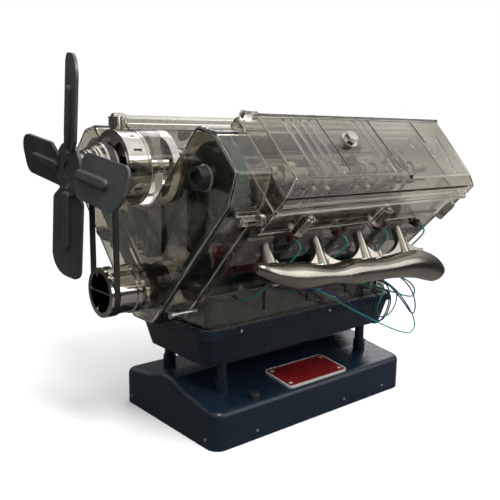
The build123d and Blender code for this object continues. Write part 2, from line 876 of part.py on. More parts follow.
def build_head(cylinders):
    lower = box(-head_half_width, head_half_width, block_front, block_back, deck_height, carrier_foot)
    upper = box(-carrier_half_width, carrier_half_width, block_front, block_back, carrier_foot, carrier_top)
    head = lower + upper
    floor = deck_height + chamber_depth + head_floor_thickness
    inside_front = block_front + block_wall
    inside_back = block_back - block_wall
    head -= box(-head_half_width + block_wall, head_half_width - block_wall, inside_front, inside_back,
                floor, carrier_top + cut_overrun)
    head -= box(-carrier_half_width + block_wall, carrier_half_width - block_wall, inside_front, inside_back,
                carrier_foot + block_wall, carrier_top + cut_overrun)
    bearings = [y + cylinder_pitch / 2 for y in cylinders[:-1]]
    for y in bearings:
        head += box(cam_across - cam_pulley_hub_radius, cam_across + cam_pulley_hub_radius,
                    y - bulkhead_thickness / 2, y + bulkhead_thickness / 2, floor, carrier_top - running_gap)
    for y in cylinders:
        head -= z_rod(chamber_radius, deck_height - cut_overrun, deck_height + chamber_depth, 0, y)
        for shift in (-valve_spacing, valve_spacing):
            head -= z_rod(valve_stem_radius + running_gap, deck_height, floor + cut_overrun, cam_across, y + shift)
        head -= plug_bar(y, plug_radius + bearing_gap, -plug_hex_radius)
    for y in ear_places:
        ear = z_rod(ear_radius, ear_foot, ear_top, ear_across, y)
        head += ear - box(-carrier_half_width, carrier_half_width - block_wall, y - ear_radius, y + ear_radius,
                          ear_foot, ear_top)
    return head - y_rod(cam_radius + bearing_gap, block_front - cut_overrun, inside_back, cam_across, cam_along)


def plug_direction():
    run = (plug_inner_across - plug_outer_across, 0, plug_inner_along - plug_outer_along)
    length = math.hypot(run[0], run[2])
    return run[0] / length, run[2] / length


def plug_bar(y, radius, start=0.0, end=None):
    """A bar along a spark plug's axis, measured from its outer end."""
    step_x, step_z = plug_direction()
    if end is None:
        end = math.hypot(plug_inner_across - plug_outer_across, plug_inner_along - plug_outer_along)
    return rod_between(radius, (plug_outer_across + step_x * start, y, plug_outer_along + step_z * start),
                       (plug_outer_across + step_x * end, y, plug_outer_along + step_z * end))


def build_plugs():
    def plug(y):
        body = plug_bar(y, plug_radius, -plug_reach)
        return body + plug_bar(y, plug_hex_radius, -plug_hex_start, -plug_hex_end)
    return group(both_banks(plug))


def frustum(half_low, half_high, front, front_high, back, back_in, back_out, low, high):
    """The cover's drafted top between its shoulder and its panel."""
    lower = Polyline((-half_low, front, low), (half_low, front, low), (half_low, back, low),
                     (-half_low, back, low), close=True)
    upper = Polyline((-half_high, front_high, high), (half_high, front_high, high), (half_high, back_out, high),
                     (-half_high, back_in, high), close=True)
    return loft([make_face(lower.edges()), make_face(upper.edges())], ruled=True)


def cover_body(inset):
    """The valve cover's outside, or its inside when drawn in by a wall."""
    half = carrier_half_width - inset
    top_half = cover_top_half_width - inset
    front = block_front + inset
    back = cover_back - inset
    top = cover_top - inset
    low = box(-half, half, front, back, carrier_top, cover_shoulder)
    return low + frustum(half, top_half, front, block_front + cover_front_draft + inset, back,
                         cover_back - cover_back_inner_draft - inset, cover_back - cover_back_outer_draft - inset,
                         cover_shoulder, top)


def panel_height(across):
    """Height of the panel's rear, which slopes down beyond the step's start."""
    fall = cover_step_drop / (cover_top_half_width - cover_step_across)
    return cover_top - max(across - cover_step_across, 0) * fall


def step_wedge(inset):
    """What the rear of the panel lacks, where it slopes down to its outer edge."""
    top = cover_top + cut_overrun
    edge = carrier_half_width + cut_overrun
    drop = cover_step_drop * (edge - cover_step_across) / (cover_top_half_width - cover_step_across)
    points = [(cover_step_across, 0, cover_top - inset), (edge, 0, cover_top - drop - inset), (edge, 0, top),
              (cover_step_across, 0, top)]
    outline = Polyline(*points, close=True)
    length = cover_back + cut_overrun - cover_step_y + inset
    return Pos(0, cover_step_y - inset, 0) * extrude(make_face(outline.edges()), amount=length, dir=(0, 1, 0))


def build_cover():
    outer = cover_body(0)
    upper_edges = [edge for edge in outer.edges() if edge.center().Z > carrier_top + bearing_gap]
    outer = fillet(upper_edges, cover_edge_radius) - step_wedge(0)
    half = carrier_half_width
    outer += box(-half - cover_lip_width, half + cover_lip_width, block_front, cover_back, carrier_top,
                 carrier_top + cover_lip_height)
    ledge = carrier_top + cover_ledge_rise
    outer += box(-half - cover_ledge_width, half + cover_ledge_width, block_front + cover_edge_radius,
                 cover_back - cover_edge_radius, ledge, ledge + cover_ledge_height)
    rail_across = -cover_top_half_width
    rail_along = cover_top - cover_rail_radius / 2
    rail_end = cover_rail_front + cover_rail_end_length
    outer += y_rod(cover_rail_radius, rail_end, cover_back - cover_back_inner_draft, rail_across, rail_along)
    bulge = y_rod(cover_rail_end_radius, cover_rail_front, rail_end, rail_across, rail_along)
    outer += fillet(bulge.edges(), cover_rail_end_radius / 2)
    inner = cover_body(cover_wall) - step_wedge(cover_wall)
    inner += box(-carrier_half_width + cover_wall, carrier_half_width - cover_wall, block_front + cover_wall,
                 cover_back - cover_wall, carrier_top - cut_overrun, carrier_top)
    cover = outer - inner
    rib_places = [cover_rib_first_y + index * cover_rib_pitch for index in range(5)]
    rib_places += [cover_rib_second_y + index * cover_rib_pitch for index in range(3)]
    for y in rib_places:
        cover += x_rod(cover_rib_radius, -cover_rib_half_length, cover_rib_half_length, y, cover_top)
    for y, start, end in cover_rear_ribs:
        if start < cover_step_across:
            cover += x_rod(cover_rib_radius, start, cover_step_across, y, cover_top)
        near = max(start, cover_step_across)
        cover += rod_between(cover_rib_radius, (near, y, panel_height(near)), (end, y, panel_height(end)))
    cover += y_rod(cover_bead_radius, cover_bead_front, cover_bead_back, cover_bead_across, cover_top)
    cover += x_rod(cover_bead_radius, cover_bead_across, cover_step_across, cover_bead_back, cover_top)
    return cover + rod_between(cover_bead_radius, (cover_step_across, cover_bead_back, cover_top),
                               (cover_bead_end, cover_bead_back, panel_height(cover_bead_end)))


def build_caps():
    """The hexagonal filler caps on the covers and the banded one over the timing cover."""
    def cap(y):
        body = z_rod(cap_flange_radius, cover_top, cover_top + cap_flange_height, cap_across, y)
        hexagon = extrude(RegularPolygon(cap_radius, 6), amount=cap_height)
        return body + Pos(cap_across, y, cover_top) * hexagon
    filler = z_rod(filler_radius, filler_foot, filler_top, filler_x, filler_y)
    band = (filler_top - filler_foot) / (2 * filler_bands + 1)
    for index in range(filler_bands):
        low = filler_foot + band * (2 * index + 1)
        ring = z_rod(filler_radius + cut_overrun, low, low + band, filler_x, filler_y)
        ring -= z_rod(filler_radius - band / 2, low, low + band, filler_x, filler_y)
        filler -= ring
    filler -= timing_prism(0, timing_cover_front, block_front)
    return group([right(cap(cap_y)), left(cap(cap_y)), filler])


# Camshafts and valves

def valve_places(cylinders):
    return [y + shift for y in cylinders for shift in (-valve_spacing, valve_spacing)]


def build_camshaft(cylinders):
    """A camshaft whose lobes all rest off their valves."""
    shaft = y_rod(cam_radius, timing_belt_back + flange_thickness, cam_back, cam_across, cam_along)
    for number, y in enumerate(valve_places(cylinders)):
        near = y - lobe_width / 2
        far = y + lobe_width / 2
        shaft += y_rod(lobe_base_radius, near, far, cam_across, cam_along)
        turn = math.radians(90 + number * 180 / len(cylinders) / 2)
        reach = lobe_base_radius + lobe_lift - lobe_tip_radius
        shaft += y_rod(lobe_tip_radius, near, far, cam_across + reach * math.cos(turn),
                       cam_along + reach * math.sin(turn))
    return shaft


def build_valves(cylinders):
    seat = deck_height + chamber_depth - running_gap
    tip = cam_along - lobe_base_radius - lobe_lift - running_gap
    valves = []
    for y in valve_places(cylinders):
        valve = z_rod(valve_head_radius, seat - valve_head_thickness, seat, cam_across, y)
        valve += z_rod(valve_stem_radius, seat - valve_head_thickness, tip, cam_across, y)
        valve += z_rod(valve_tip_radius, tip - valve_tip_height, tip, cam_across, y)
        valves.append(valve)
    return group(valves)


def toothed_disc(radius, teeth, y0, y1, x, z):
    """A belt pulley's rim with its row of teeth."""
    disc = y_rod(radius - tooth_height, y0, y1, x, z)
    width = 2 * math.pi * radius / teeth * tooth_share
    tooth = box(-width / 2, width / 2, y0, y1, radius - 2 * tooth_height, radius)
    row = [Pos(x, 0, z) * Rot(0, index * 360 / teeth, 0) * tooth for index in range(teeth)]
    return disc.fuse(*row)


def build_cam_pulley(side):
    x, z = bank_point(cam_across, cam_along)
    x = x * side
    pulley = toothed_disc(cam_pulley_radius, cam_teeth, timing_belt_front, timing_belt_back, x, z)
    pulley += y_rod(cam_pulley_radius + timing_belt_thickness / 2, timing_belt_back,
                    timing_belt_back + flange_thickness, x, z)
    pulley += y_rod(cam_pulley_hub_radius, cam_pulley_hub_front, timing_belt_front, x, z)
    return pulley - y_rod(cam_hub_recess_radius, cam_pulley_hub_front - cut_overrun,
                          cam_pulley_hub_front + cam_hub_recess_depth, x, z)


# Timing drive

def build_crank_timing_pulley():
    crank_teeth = round(cam_teeth / 2)
    pulley = toothed_disc(crank_timing_radius, crank_teeth, timing_belt_front, timing_belt_back, 0, crank_height)
    for edge in (timing_belt_front - flange_thickness, timing_belt_back):
        pulley += y_rod(crank_timing_flange_radius, edge, edge + flange_thickness, 0, crank_height)
    return pulley - y_rod(nose_radius, nose_front, block_front, 0, crank_height)


def tangent_points(first, first_radius, second, second_radius):
    """Where a belt leaves the first circle and meets the second, which it passes on their left if positive."""
    dx, dz = second[0] - first[0], second[1] - first[1]
    distance = math.hypot(dx, dz)
    heading = math.atan2(dz, dx)
    swing = heading + math.acos((first_radius - second_radius) / distance)
    unit = (math.cos(swing), math.sin(swing))
    return ((first[0] + first_radius * unit[0], first[1] + first_radius * unit[1]),
            (second[0] + second_radius * unit[0], second[1] + second_radius * unit[1]))


def loop_face(circles, y):
    """The face inside a belt that runs clockwise round circles given as (x, z, radius), or back round minus ones."""
    touches = []
    count = len(circles)
    for index in range(count):
        one, two = circles[index], circles[(index + 1) % count]
        touches.append(tangent_points(one[:2], one[2], two[:2], two[2]))
    edges = []
    for index in range(count):
        start, end = touches[index]
        edges.append(Line((start[0], y, start[1]), (end[0], y, end[1])))
        centre = circles[(index + 1) % count]
        leave = touches[(index + 1) % count][0]
        from_angle = math.atan2(end[1] - centre[1], end[0] - centre[0])
        to_angle = math.atan2(leave[1] - centre[1], leave[0] - centre[0])
        way = math.copysign(1, centre[2])
        swept = (from_angle - to_angle) * way % (2 * math.pi)
        middle = from_angle - way * swept / 2
        reach = abs(centre[2])
        through = (centre[0] + reach * math.cos(middle), y, centre[1] + reach * math.sin(middle))
        edges.append(ThreePointArc((end[0], y, end[1]), through, (leave[0], y, leave[1])))
    return make_face(edges)


def belt_ring(circles, thickness, y0, y1):
    """A flat belt round circles."""
    outer = extrude(loop_face([(x, z, r + thickness) for x, z, r in circles], y0), amount=y1 - y0, dir=(0, 1, 0))
    inner = extrude(loop_face(circles, y0 - cut_overrun), amount=y1 - y0 + 2 * cut_overrun, dir=(0, 1, 0))
    return outer - inner


def timing_circles():
    """What the timing belt goes round, with a minus where its back lies on the guide."""
    x, z = bank_point(cam_across, cam_along)
    cam_ring = cam_pulley_radius + running_gap
    guide_ring = guide_radius + running_gap + timing_belt_thickness
    return [(0, crank_height, crank_timing_radius + running_gap), (-x, z, cam_ring),
            (0, guide_height, -guide_ring), (x, z, cam_ring)]


def build_timing_belt():
    return belt_ring(timing_circles(), timing_belt_thickness, timing_belt_front + running_gap,
                     timing_belt_back - running_gap)


def timing_outline(inset):
    """The heart-shaped timing cover seen from the front."""
    inner = timing_inner_across + inset
    outer = timing_outer_across - inset
    top = timing_top - inset
    cut = timing_corner
    foot = crank_height - timing_foot_radius + inset
    side = timing_foot_half - inset
    return mirrored([(side / 2, foot), (side, foot + side / 2), bank_point(outer, top - 2 * cut),
                     bank_point(outer - cut, top), bank_point(inner + 1.5 * cut, top), bank_point(inner, top - cut),
                     (0, crank_height - inner / sine)])


def timing_prism(inset, y0, y1):
    """The cover's outline as a prism, its valley rounded concentric with the drum."""
    points = timing_outline(inset)
    lowest = min(z for x, z in points)
    radii = [timing_round - inset / 2] * len(points)
    for place, (x, z) in enumerate(points):
        if x == 0 and z > lowest:
            radii[place] = pump_radius + drum_clearance + inset
    return soft_prism(points, radii, y0, y1)


def timing_boss(rim_back):
    """The tube beside the cover that takes the screw into the head."""
    tube = y_rod(timing_boss_radius, timing_boss_front, rim_back, timing_boss_across, cam_along)
    web = box(timing_outer_across - timing_cover_wall, timing_boss_across, timing_boss_front, rim_back,
              cam_along - timing_boss_web / 2, cam_along + timing_boss_web / 2)
    return tube + web


def build_timing_cover():
    """The front cover with its openings for the hubs and, inside, the guide that the belt dips under."""
    rim_back = block_front - running_gap
    cover = timing_prism(0, timing_cover_front, rim_back)
    cover = fillet(cover.faces().sort_by(Axis.Y)[0].edges(), timing_edge_radius)
    for place in (right, left):
        cover += place(timing_boss(rim_back))
    cover -= timing_prism(timing_cover_wall, timing_cover_front + timing_cover_wall, rim_back + cut_overrun)
    x, z = bank_point(cam_across, cam_along)
    front = timing_cover_front - cut_overrun
    back = timing_cover_front + timing_cover_wall + cut_overrun
    for side in (-1, 1):
        cover -= y_rod(cam_pulley_hub_radius + 3 * running_gap, front, back, side * x, z)
    cover -= y_rod(crank_neck_radius + 3 * running_gap, front, back, 0, crank_height)
    return cover + y_rod(guide_radius, timing_cover_front + timing_cover_wall, timing_belt_back, 0, guide_height)


def build_crank_pulley():
    """The bright hollow pulley on the crank's nose."""
    z = crank_height
    groove_front = crank_pulley_front + crank_pulley_rim
    groove_back = groove_front + crank_groove_width
    neck_back = timing_belt_front - flange_thickness
    pulley = y_rod(crank_pulley_radius, crank_pulley_front, groove_front, 0, z)
    pulley += y_rod(crank_groove_radius, groove_front, groove_back, 0, z)
    pulley += y_rod(crank_pulley_radius, groove_back, groove_back + crank_pulley_rim, 0, z)
    pulley += y_rod(crank_barrel_radius, groove_back, crank_ring_front, 0, z)
    ring = (crank_ring_back - crank_ring_front) / 3
    pulley += y_rod(crank_ring_radius, crank_ring_front, crank_ring_front + ring, 0, z)
    pulley += y_rod(crank_barrel_radius - crank_pulley_rim, crank_ring_front, crank_ring_back, 0, z)
    pulley += y_rod(crank_ring_radius, crank_ring_back - ring, crank_ring_back, 0, z)
    pulley += y_rod(crank_neck_radius, crank_ring_back, neck_back, 0, z)
    hollow_back = crank_pulley_front + crank_hollow_depth
    pulley -= y_rod(crank_hollow_radius, crank_pulley_front - cut_overrun, hollow_back, 0, z)
    pulley += box(-crank_hollow_radius, crank_hollow_radius, crank_pulley_front + crank_pulley_rim, hollow_back,
                  z - crank_bar_thickness / 2, z + crank_bar_thickness / 2)
    for side in (-1, 1):
        x = side * crank_hollow_radius / 2
        reach = math.sqrt(crank_hollow_radius ** 2 - x ** 2)
        for edge in (-1, 1):
            low, high = sorted((z + edge * reach, z + edge * (reach - crank_rib_length)))
            pulley += box(x - crank_bar_thickness / 2, x + crank_bar_thickness / 2,
                          crank_pulley_front + crank_pulley_rim, hollow_back, low, high)
    return pulley - y_rod(nose_radius, hollow_back, neck_back + cut_overrun, 0, z)


# Fan, its belt and the drum behind it

fan_belt_middle = crank_pulley_front + crank_pulley_rim + crank_groove_width / 2


def fan_groove_span():
    return fan_belt_middle - crank_groove_width / 2, fan_belt_middle + crank_groove_width / 2


def build_fan_belt():
    ring = crank_groove_radius + running_gap
    circles = [(0, crank_height, ring), (0, fan_height, ring)]
    return belt_ring(circles, fan_belt_thickness, fan_belt_middle - fan_belt_width / 2,
                     fan_belt_middle + fan_belt_width / 2)


def build_fan_pulley():
    """The stepped bright pulley on the fan shaft."""
    z = fan_height
    front, back = fan_groove_span()
    pulley = y_rod(crank_groove_radius, front, back, 0, z)
    pulley += y_rod(crank_groove_radius + crank_pulley_rim, back, back + crank_pulley_rim, 0, z)
    pulley += y_rod(fan_pulley_nose_radius, back, fan_pulley_back, 0, z)
    step_length = (front - fan_pulley_front) / fan_pulley_steps
    for index in range(fan_pulley_steps):
        share = (index + 1) / fan_pulley_steps
        radius = fan_pulley_nose_radius + (crank_groove_radius + crank_pulley_rim - fan_pulley_nose_radius) * share
        near = fan_pulley_front + step_length * index
        pulley += y_rod(radius - crank_pulley_rim, near, near + step_length, 0, z)
        pulley += y_rod(radius, near + step_length - crank_pulley_rim, near + step_length, 0, z)
    shaft = y_rod(fan_shaft_radius, fan_front + fan_hub_thickness, pump_back, 0, z)
    return group([pulley + shaft] + hub_screws())


def hub_screws():
    """The two screws on the fan's hub, lying on its front."""
    screws = []
    for edge in (-1, 1):
        head = y_rod(fan_screw_radius, fan_front - fan_screw_height, fan_front, 0, edge * fan_screw_place)
        slot = box(-fan_screw_radius, fan_screw_radius, fan_front - fan_screw_height,
                   fan_front - fan_screw_height / 2, edge * fan_screw_place - fan_screw_slot / 2,
                   edge * fan_screw_place + fan_screw_slot / 2)
        screws.append(Pos(0, 0, fan_height) * Rot(0, fan_rest_turn, 0) * (head - slot))
    return screws


def build_pump():
    """The bright slotted drum and the clear drum behind it, on their neck."""
    z = fan_height
    clear = y_rod(pump_radius, drum_back, pump_back, 0, z)
    clear += y_rod(pump_neck_radius, pump_back, pump_neck_back, 0, z)
    return clear - y_rod(fan_shaft_radius + bearing_gap, drum_back - cut_overrun, pump_back + running_gap, 0, z)


def build_drum():
    z = fan_height
    drum = y_rod(drum_radius, drum_front, drum_back, 0, z)
    drum += y_rod(drum_rim_radius, drum_front, drum_front + drum_rim_width, 0, z)
    drum += y_rod(drum_rim_radius, drum_back - drum_rim_width, drum_back, 0, z)
    drum -= y_rod(drum_front_dish_radius, drum_front - cut_overrun, drum_front + drum_front_dish_depth, 0, z)
    slot = box(-drum_slot_width / 2, drum_slot_width / 2, -drum_slot_length / 2, drum_slot_length / 2,
               drum_radius - drum_front_dish_depth / 2, drum_radius + cut_overrun)
    middle = (drum_front + drum_back) / 2
    for index in range(drum_slots):
        drum -= Pos(0, middle, z) * Rot(0, index * 360 / drum_slots, 0) * slot
    return drum - y_rod(fan_shaft_radius + bearing_gap, drum_front, drum_back + cut_overrun, 0, z)


def build_fan():
    """Four pitched blades, each with a round-ended rib, round a flat hub."""
    hub = y_rod(fan_hub_radius, fan_front, fan_front + fan_hub_thickness)
    hub -= y_rod(fan_centre_radius, fan_front - cut_overrun, fan_front + fan_centre_depth)
    lead, trail = -fan_blade_lead, fan_blade_trail
    root, tip = fan_root_radius, fan_tip_radius
    shoulder = root + fan_blade_shoulder
    outline = [(lead / 2, root), (lead, shoulder), (lead, tip), (trail, tip), (trail, shoulder), (trail / 2, root)]
    radii = [fan_blade_foot_round, fan_blade_shoulder_round, fan_blade_lead_round, fan_blade_trail_round,
             fan_blade_shoulder_round, fan_blade_foot_round]
    blade = soft_prism(outline, radii, 0, fan_blade_thickness)
    rib = box(-fan_rib_radius, fan_rib_radius, -fan_rib_height, 0, fan_rib_inner_radius, fan_rib_outer_radius)
    rib += y_rod(fan_rib_radius, -fan_rib_height, 0, 0, fan_rib_outer_radius)
    rib += y_rod(fan_rib_radius, -fan_rib_height, 0, 0, fan_rib_inner_radius)
    blade += fillet(rib.edges().group_by(Axis.Y)[0], fan_rib_edge_radius)
    blade_front = fan_front + fan_hub_thickness / 2 - fan_blade_thickness / 2
    blade = Pos(0, blade_front, 0) * Rot(0, 0, -fan_blade_pitch) * blade
    fan = hub.fuse(*[Rot(0, index * 360 / fan_blades, 0) * blade for index in range(fan_blades)])
    return Pos(0, 0, fan_height) * Rot(0, fan_rest_turn, 0) * fan


# Exhaust

def port_places(cylinders):
    return [y + port_offset for y in cylinders]


def log_sections(ports, inset, first):
    """The log's cross sections from a station on, drawn in by a wall."""
    start = ports[0] - exhaust_front_run
    length = ports[-1] + exhaust_tip_run - start
    rows = list(zip(log_run_shares, log_rise_shares, log_height_shares, log_width_shares, log_tilt_shares))
    sections = []
    for run, rise, height, width, tilt in rows[first:]:
        angle = math.radians(exhaust_tip_turn * tilt)
        forward = (0, math.cos(angle), -math.sin(angle))
        centre = (exhaust_side, start + length * run, crank_height + exhaust_rise + exhaust_sag * rise)
        frame = Plane(origin=centre, x_dir=(1, 0, 0), z_dir=forward)
        sections.append(frame * Ellipse(exhaust_radius * width - inset, exhaust_radius * height - inset))
    if inset:
        sections.append(Plane(origin=Vector(*centre) + Vector(*forward) * cut_overrun, x_dir=(1, 0, 0), z_dir=forward)
                        * Ellipse(exhaust_radius * width - inset, exhaust_radius * height - inset))
    return sections


def tapered_rod(start, end, start_radius, end_radius):
    """A round bar that widens from one place to another."""
    axis = Vector(*end) - Vector(*start)
    middle = (Vector(*start) + Vector(*end)) / 2
    return Plane(origin=middle, z_dir=axis) * Cone(start_radius, end_radius, axis.length)


def shelf_web(ports):
    """The thin shelf that rises from the log between the runners, scalloped midway between them."""
    x, z = bank_point(head_half_width, runner_along)
    low = (exhaust_side, 0, crank_height + exhaust_rise)
    rise = Vector(x - exhaust_side, 0, z - low[2]).normalized()
    pitch = (ports[-1] - ports[0]) / (len(ports) - 1)
    length = ports[-1] - ports[0] + pitch / 2
    frame = Plane(origin=(low[0], ports[0], low[2]), x_dir=(0, 1, 0), z_dir=rise.cross(Vector(0, 1, 0)))
    upward = 1 if frame.y_dir.Z > 0 else -1
    sheet = Pos(length / 2, upward * web_plate_height / 2, 0) * Box(length, web_plate_height, web_plate_thickness)
    for place in range(len(ports)):
        scallop = Cylinder(web_scallop_radius, web_plate_thickness + 2 * cut_overrun)
        sheet -= Pos(place * pitch + pitch / 2, upward * web_scallop_reach, 0) * scallop
    return frame * sheet


def build_exhaust(cylinders):
    """A log manifold on the right side: a flange and a short runner for each port, the log and its outlet."""
    ports = port_places(cylinders)
    outer = head_half_width + flange_plate_thickness
    body = loft(log_sections(ports, 0, 0))
    for y in ports:
        low = y + flange_screw_front - flange_screw_margin
        high = y + flange_screw_back + flange_screw_margin
        body += right(box(head_half_width, outer, low, high, flange_plate_foot, flange_plate_top))
        x, z = bank_point(head_half_width, runner_along)
        centre = (exhaust_side, y, crank_height + exhaust_rise)
        body += tapered_rod((x, y, z), centre, runner_radius, runner_root_radius)
    tab_foot = flange_screw_along - flange_tab_height / 2
    body += right(box(head_half_width, outer, ports[-1], ports[-1] + flange_screw_rear + flange_screw_margin,
                      tab_foot, tab_foot + flange_tab_height))
    body += shelf_web(ports)
    for y in log_boss_places:
        centre = (exhaust_side, y, crank_height + exhaust_rise)
        top = (exhaust_side - log_boss_reach / 2, y, crank_height + exhaust_rise + log_boss_reach)
        body += rod_between(log_boss_radius, centre, top)
    body -= right(box(0, head_half_width, block_front, block_back, liner_foot, carrier_foot))
    return body - loft(log_sections(ports, exhaust_wall, 2))


# Intake manifold

def build_intake():
    """The manifold that fills the valley, with its plenum on top."""
    def valley_shape(inset, front, back):
        outline = mirrored([(intake_foot_half - inset / 2, intake_foot + inset),
                            (intake_top_half - 1.5 * inset, intake_shoulder - inset / 2),
                            (plenum_half - inset, intake_top - inset)])
        return y_prism(outline, front, back)

    body = valley_shape(0, intake_front, intake_back)
    body += rounded_box(plenum_half, plenum_front, plenum_back, intake_top, plenum_top, plenum_radius)
    body -= valley_shape(block_wall, pump_neck_back + 2 * block_wall, intake_back - block_wall)
    neck = y_rod(pump_neck_radius + running_gap, intake_front - cut_overrun, pump_neck_back, 0, fan_height)
    return body - neck


# Rear drive

def gear(teeth, x, z, y0, y1, turn):
    """A spur gear with straight-sided teeth, thinned for backlash."""
    pitch_radius = gear_module * teeth / 2
    root_radius = pitch_radius - 1.25 * gear_module
    outer_radius = pitch_radius + gear_module
    pitch = math.pi * gear_module
    half_root = pitch * 0.5 / 2 + gear_module * 0.25 - gear_backlash / 2
    half_tip = pitch * 0.25 / 2
    points = [(-half_root, root_radius - gear_module / 2), (half_root, root_radius - gear_module / 2),
              (half_tip, outer_radius), (-half_tip, outer_radius)]
    tooth = y_prism(points, y0, y1)
    row = [Rot(0, turn + index * 360 / teeth, 0) * tooth for index in range(teeth)]
    disc = y_rod(root_radius, y0, y1)
    return Pos(x, 0, z) * disc.fuse(*row)


def build_crank_gear():
    body = gear(crank_gear_teeth, 0, crank_height, gear_front, gear_back, 0)
    return body - y_rod(journal_radius, gear_front - cut_overrun, gear_back + cut_overrun, 0, crank_height)


def build_pinion():
    body = gear(pinion_teeth, 0, motor_height, gear_front, gear_back, 180 / pinion_teeth)
    return body + y_rod(motor_shaft_radius, motor_back + motor_boss_length + running_gap, gear_front, 0, motor_height)


def build_motor():
    body = y_rod(motor_radius, motor_front, motor_back, 0, motor_height)
    flat = motor_radius - block_wall / 2
    body -= box(flat, motor_radius, motor_front, motor_back, motor_height - motor_radius, motor_height + motor_radius)
    body -= box(-motor_radius, -flat, motor_front, motor_back, motor_height - motor_radius,
                motor_height + motor_radius)
    body += y_rod(motor_boss_radius, motor_back, motor_back + motor_boss_length, 0, motor_height)
    cradle_half = motor_radius / 2
    cradle = box(-cradle_half, cradle_half, motor_front + motor_boss_radius, motor_back - motor_boss_radius,
                 pan_floor + block_wall, motor_height - motor_radius / 2)
    return body + cradle


def build_rear_cover():
    """The plate over the rear bearing."""
    outline = mirrored([(rear_cover_half_width, skirt_top + block_wall),
                        (rear_cover_half_width, crank_height + rear_cover_half_width / 2),
                        (rear_cover_half_width / 2, crank_height + rear_cover_half_width)])
    plate = y_prism(outline, block_back, block_back + rear_cover_thickness)
    return plate - y_rod(journal_radius + running_gap, block_back - cut_overrun, block_back + running_gap,
                         0, crank_height)


def small_screws():
    """Screw heads on the stand's and the pan's walls, and the long screws below the timing cover."""
    screws = []
    half_width = base_width / 2
    half_length = base_length / 2
    for side in (-1, 1):
        for y in stand_side_dots:
            low, high = sorted((side * half_width, side * (half_width + dot_height)))
            screws.append(x_rod(dot_radius, low, high, y, stand_dot_height))
        low, high = sorted((side * pan_half_width, side * (pan_half_width + dot_height)))
        for y in pan_side_dots:
            screws.append(x_rod(dot_radius, low, high, y, (pan_rim_bottom + pan_rim_top) / 2))
        for end in (-1, 1):
            low, high = sorted((end * half_length, end * (half_length + dot_height)))
            screws.append(y_rod(dot_radius, low, high, side * stand_front_dot_x, stand_dot_height))
        z = crank_height - long_screw_drop
        screw = y_rod(long_screw_radius, long_screw_front, block_front, side * long_screw_x, z)
        screw += y_rod(long_screw_head_radius, long_screw_front, long_screw_front + long_screw_head_length,
                       side * long_screw_x, z)
        screws.append(screw)
    return screws


def build_screws():
    """Screw heads with their shanks, on the covers, the manifold tabs and the stand."""
    screws = []
    for place in (right, left):
        for y in ear_places:
            screw = z_rod(screw_head_radius, ear_top, ear_top + screw_head_height, ear_across, y)
            screws.append(place(screw))
        outer = head_half_width + flange_plate_thickness
        ports = port_places(right_cylinders if place is right else left_cylinders)
        for port in ports:
            offsets = [flange_screw_front, flange_screw_back]
            if port == ports[-1]:
                offsets.append(flange_screw_rear)
            for offset in offsets:
                screw = x_rod(flange_screw_radius, outer, outer + screw_head_height, port + offset,
                              flange_screw_along)
                screws.append(place(screw))
        screws.append(place(y_rod(screw_head_radius, timing_boss_front - screw_head_height, timing_boss_front,
                                  timing_boss_across, cam_along)))
    return group(screws + small_screws())


# Ignition wires

def corner_radii(points):
    """Each corner's arc, as large as its two runs allow."""
    radii = []
    for before, corner, after in zip(points, points[1:], points[2:]):
        arriving = Vector(*corner) - Vector(*before)
        leaving = Vector(*after) - Vector(*corner)
        turn = math.radians(arriving.get_angle(leaving))
        radii.append(wire_arc_share * min(arriving.length, leaving.length) / math.tan(turn / 2))
    return radii


def wire(name, points):
    """A tube along straight runs and tangent arcs."""
    radii = corner_radii(points)
    path = FilletPolyline(*points, radius=radii)
    tube = sweep(Plane(origin=path @ 0, z_dir=path % 0) * Circle(wire_radius), path=path)
    share = tube.volume / (math.pi * wire_radius ** 2 * path.length)
    print(name, "length", round(path.length, 1), "least radius", round(min(radii), 2),
          "volume share", round(share, 4))
    return tube


def beyond_plug(y, run):
    """A place on a right-bank plug's axis, a run beyond its outer end."""
    step_across, step_along = plug_direction()
    reach = plug_reach + run
    x, z = bank_point(plug_outer_across - step_across * reach, plug_outer_along - step_along * reach)
    return x, y, z


def build_ignition_leads():
    leads = []
    for y in right_cylinders:
        points = [beyond_plug(y, 0), beyond_plug(y, lead_first_run)]
        points += [(x, y + shift, z) for x, shift, z in lead_route]
        leads.append(wire("ignition lead", points))
    return group(leads)


# Pieces to files

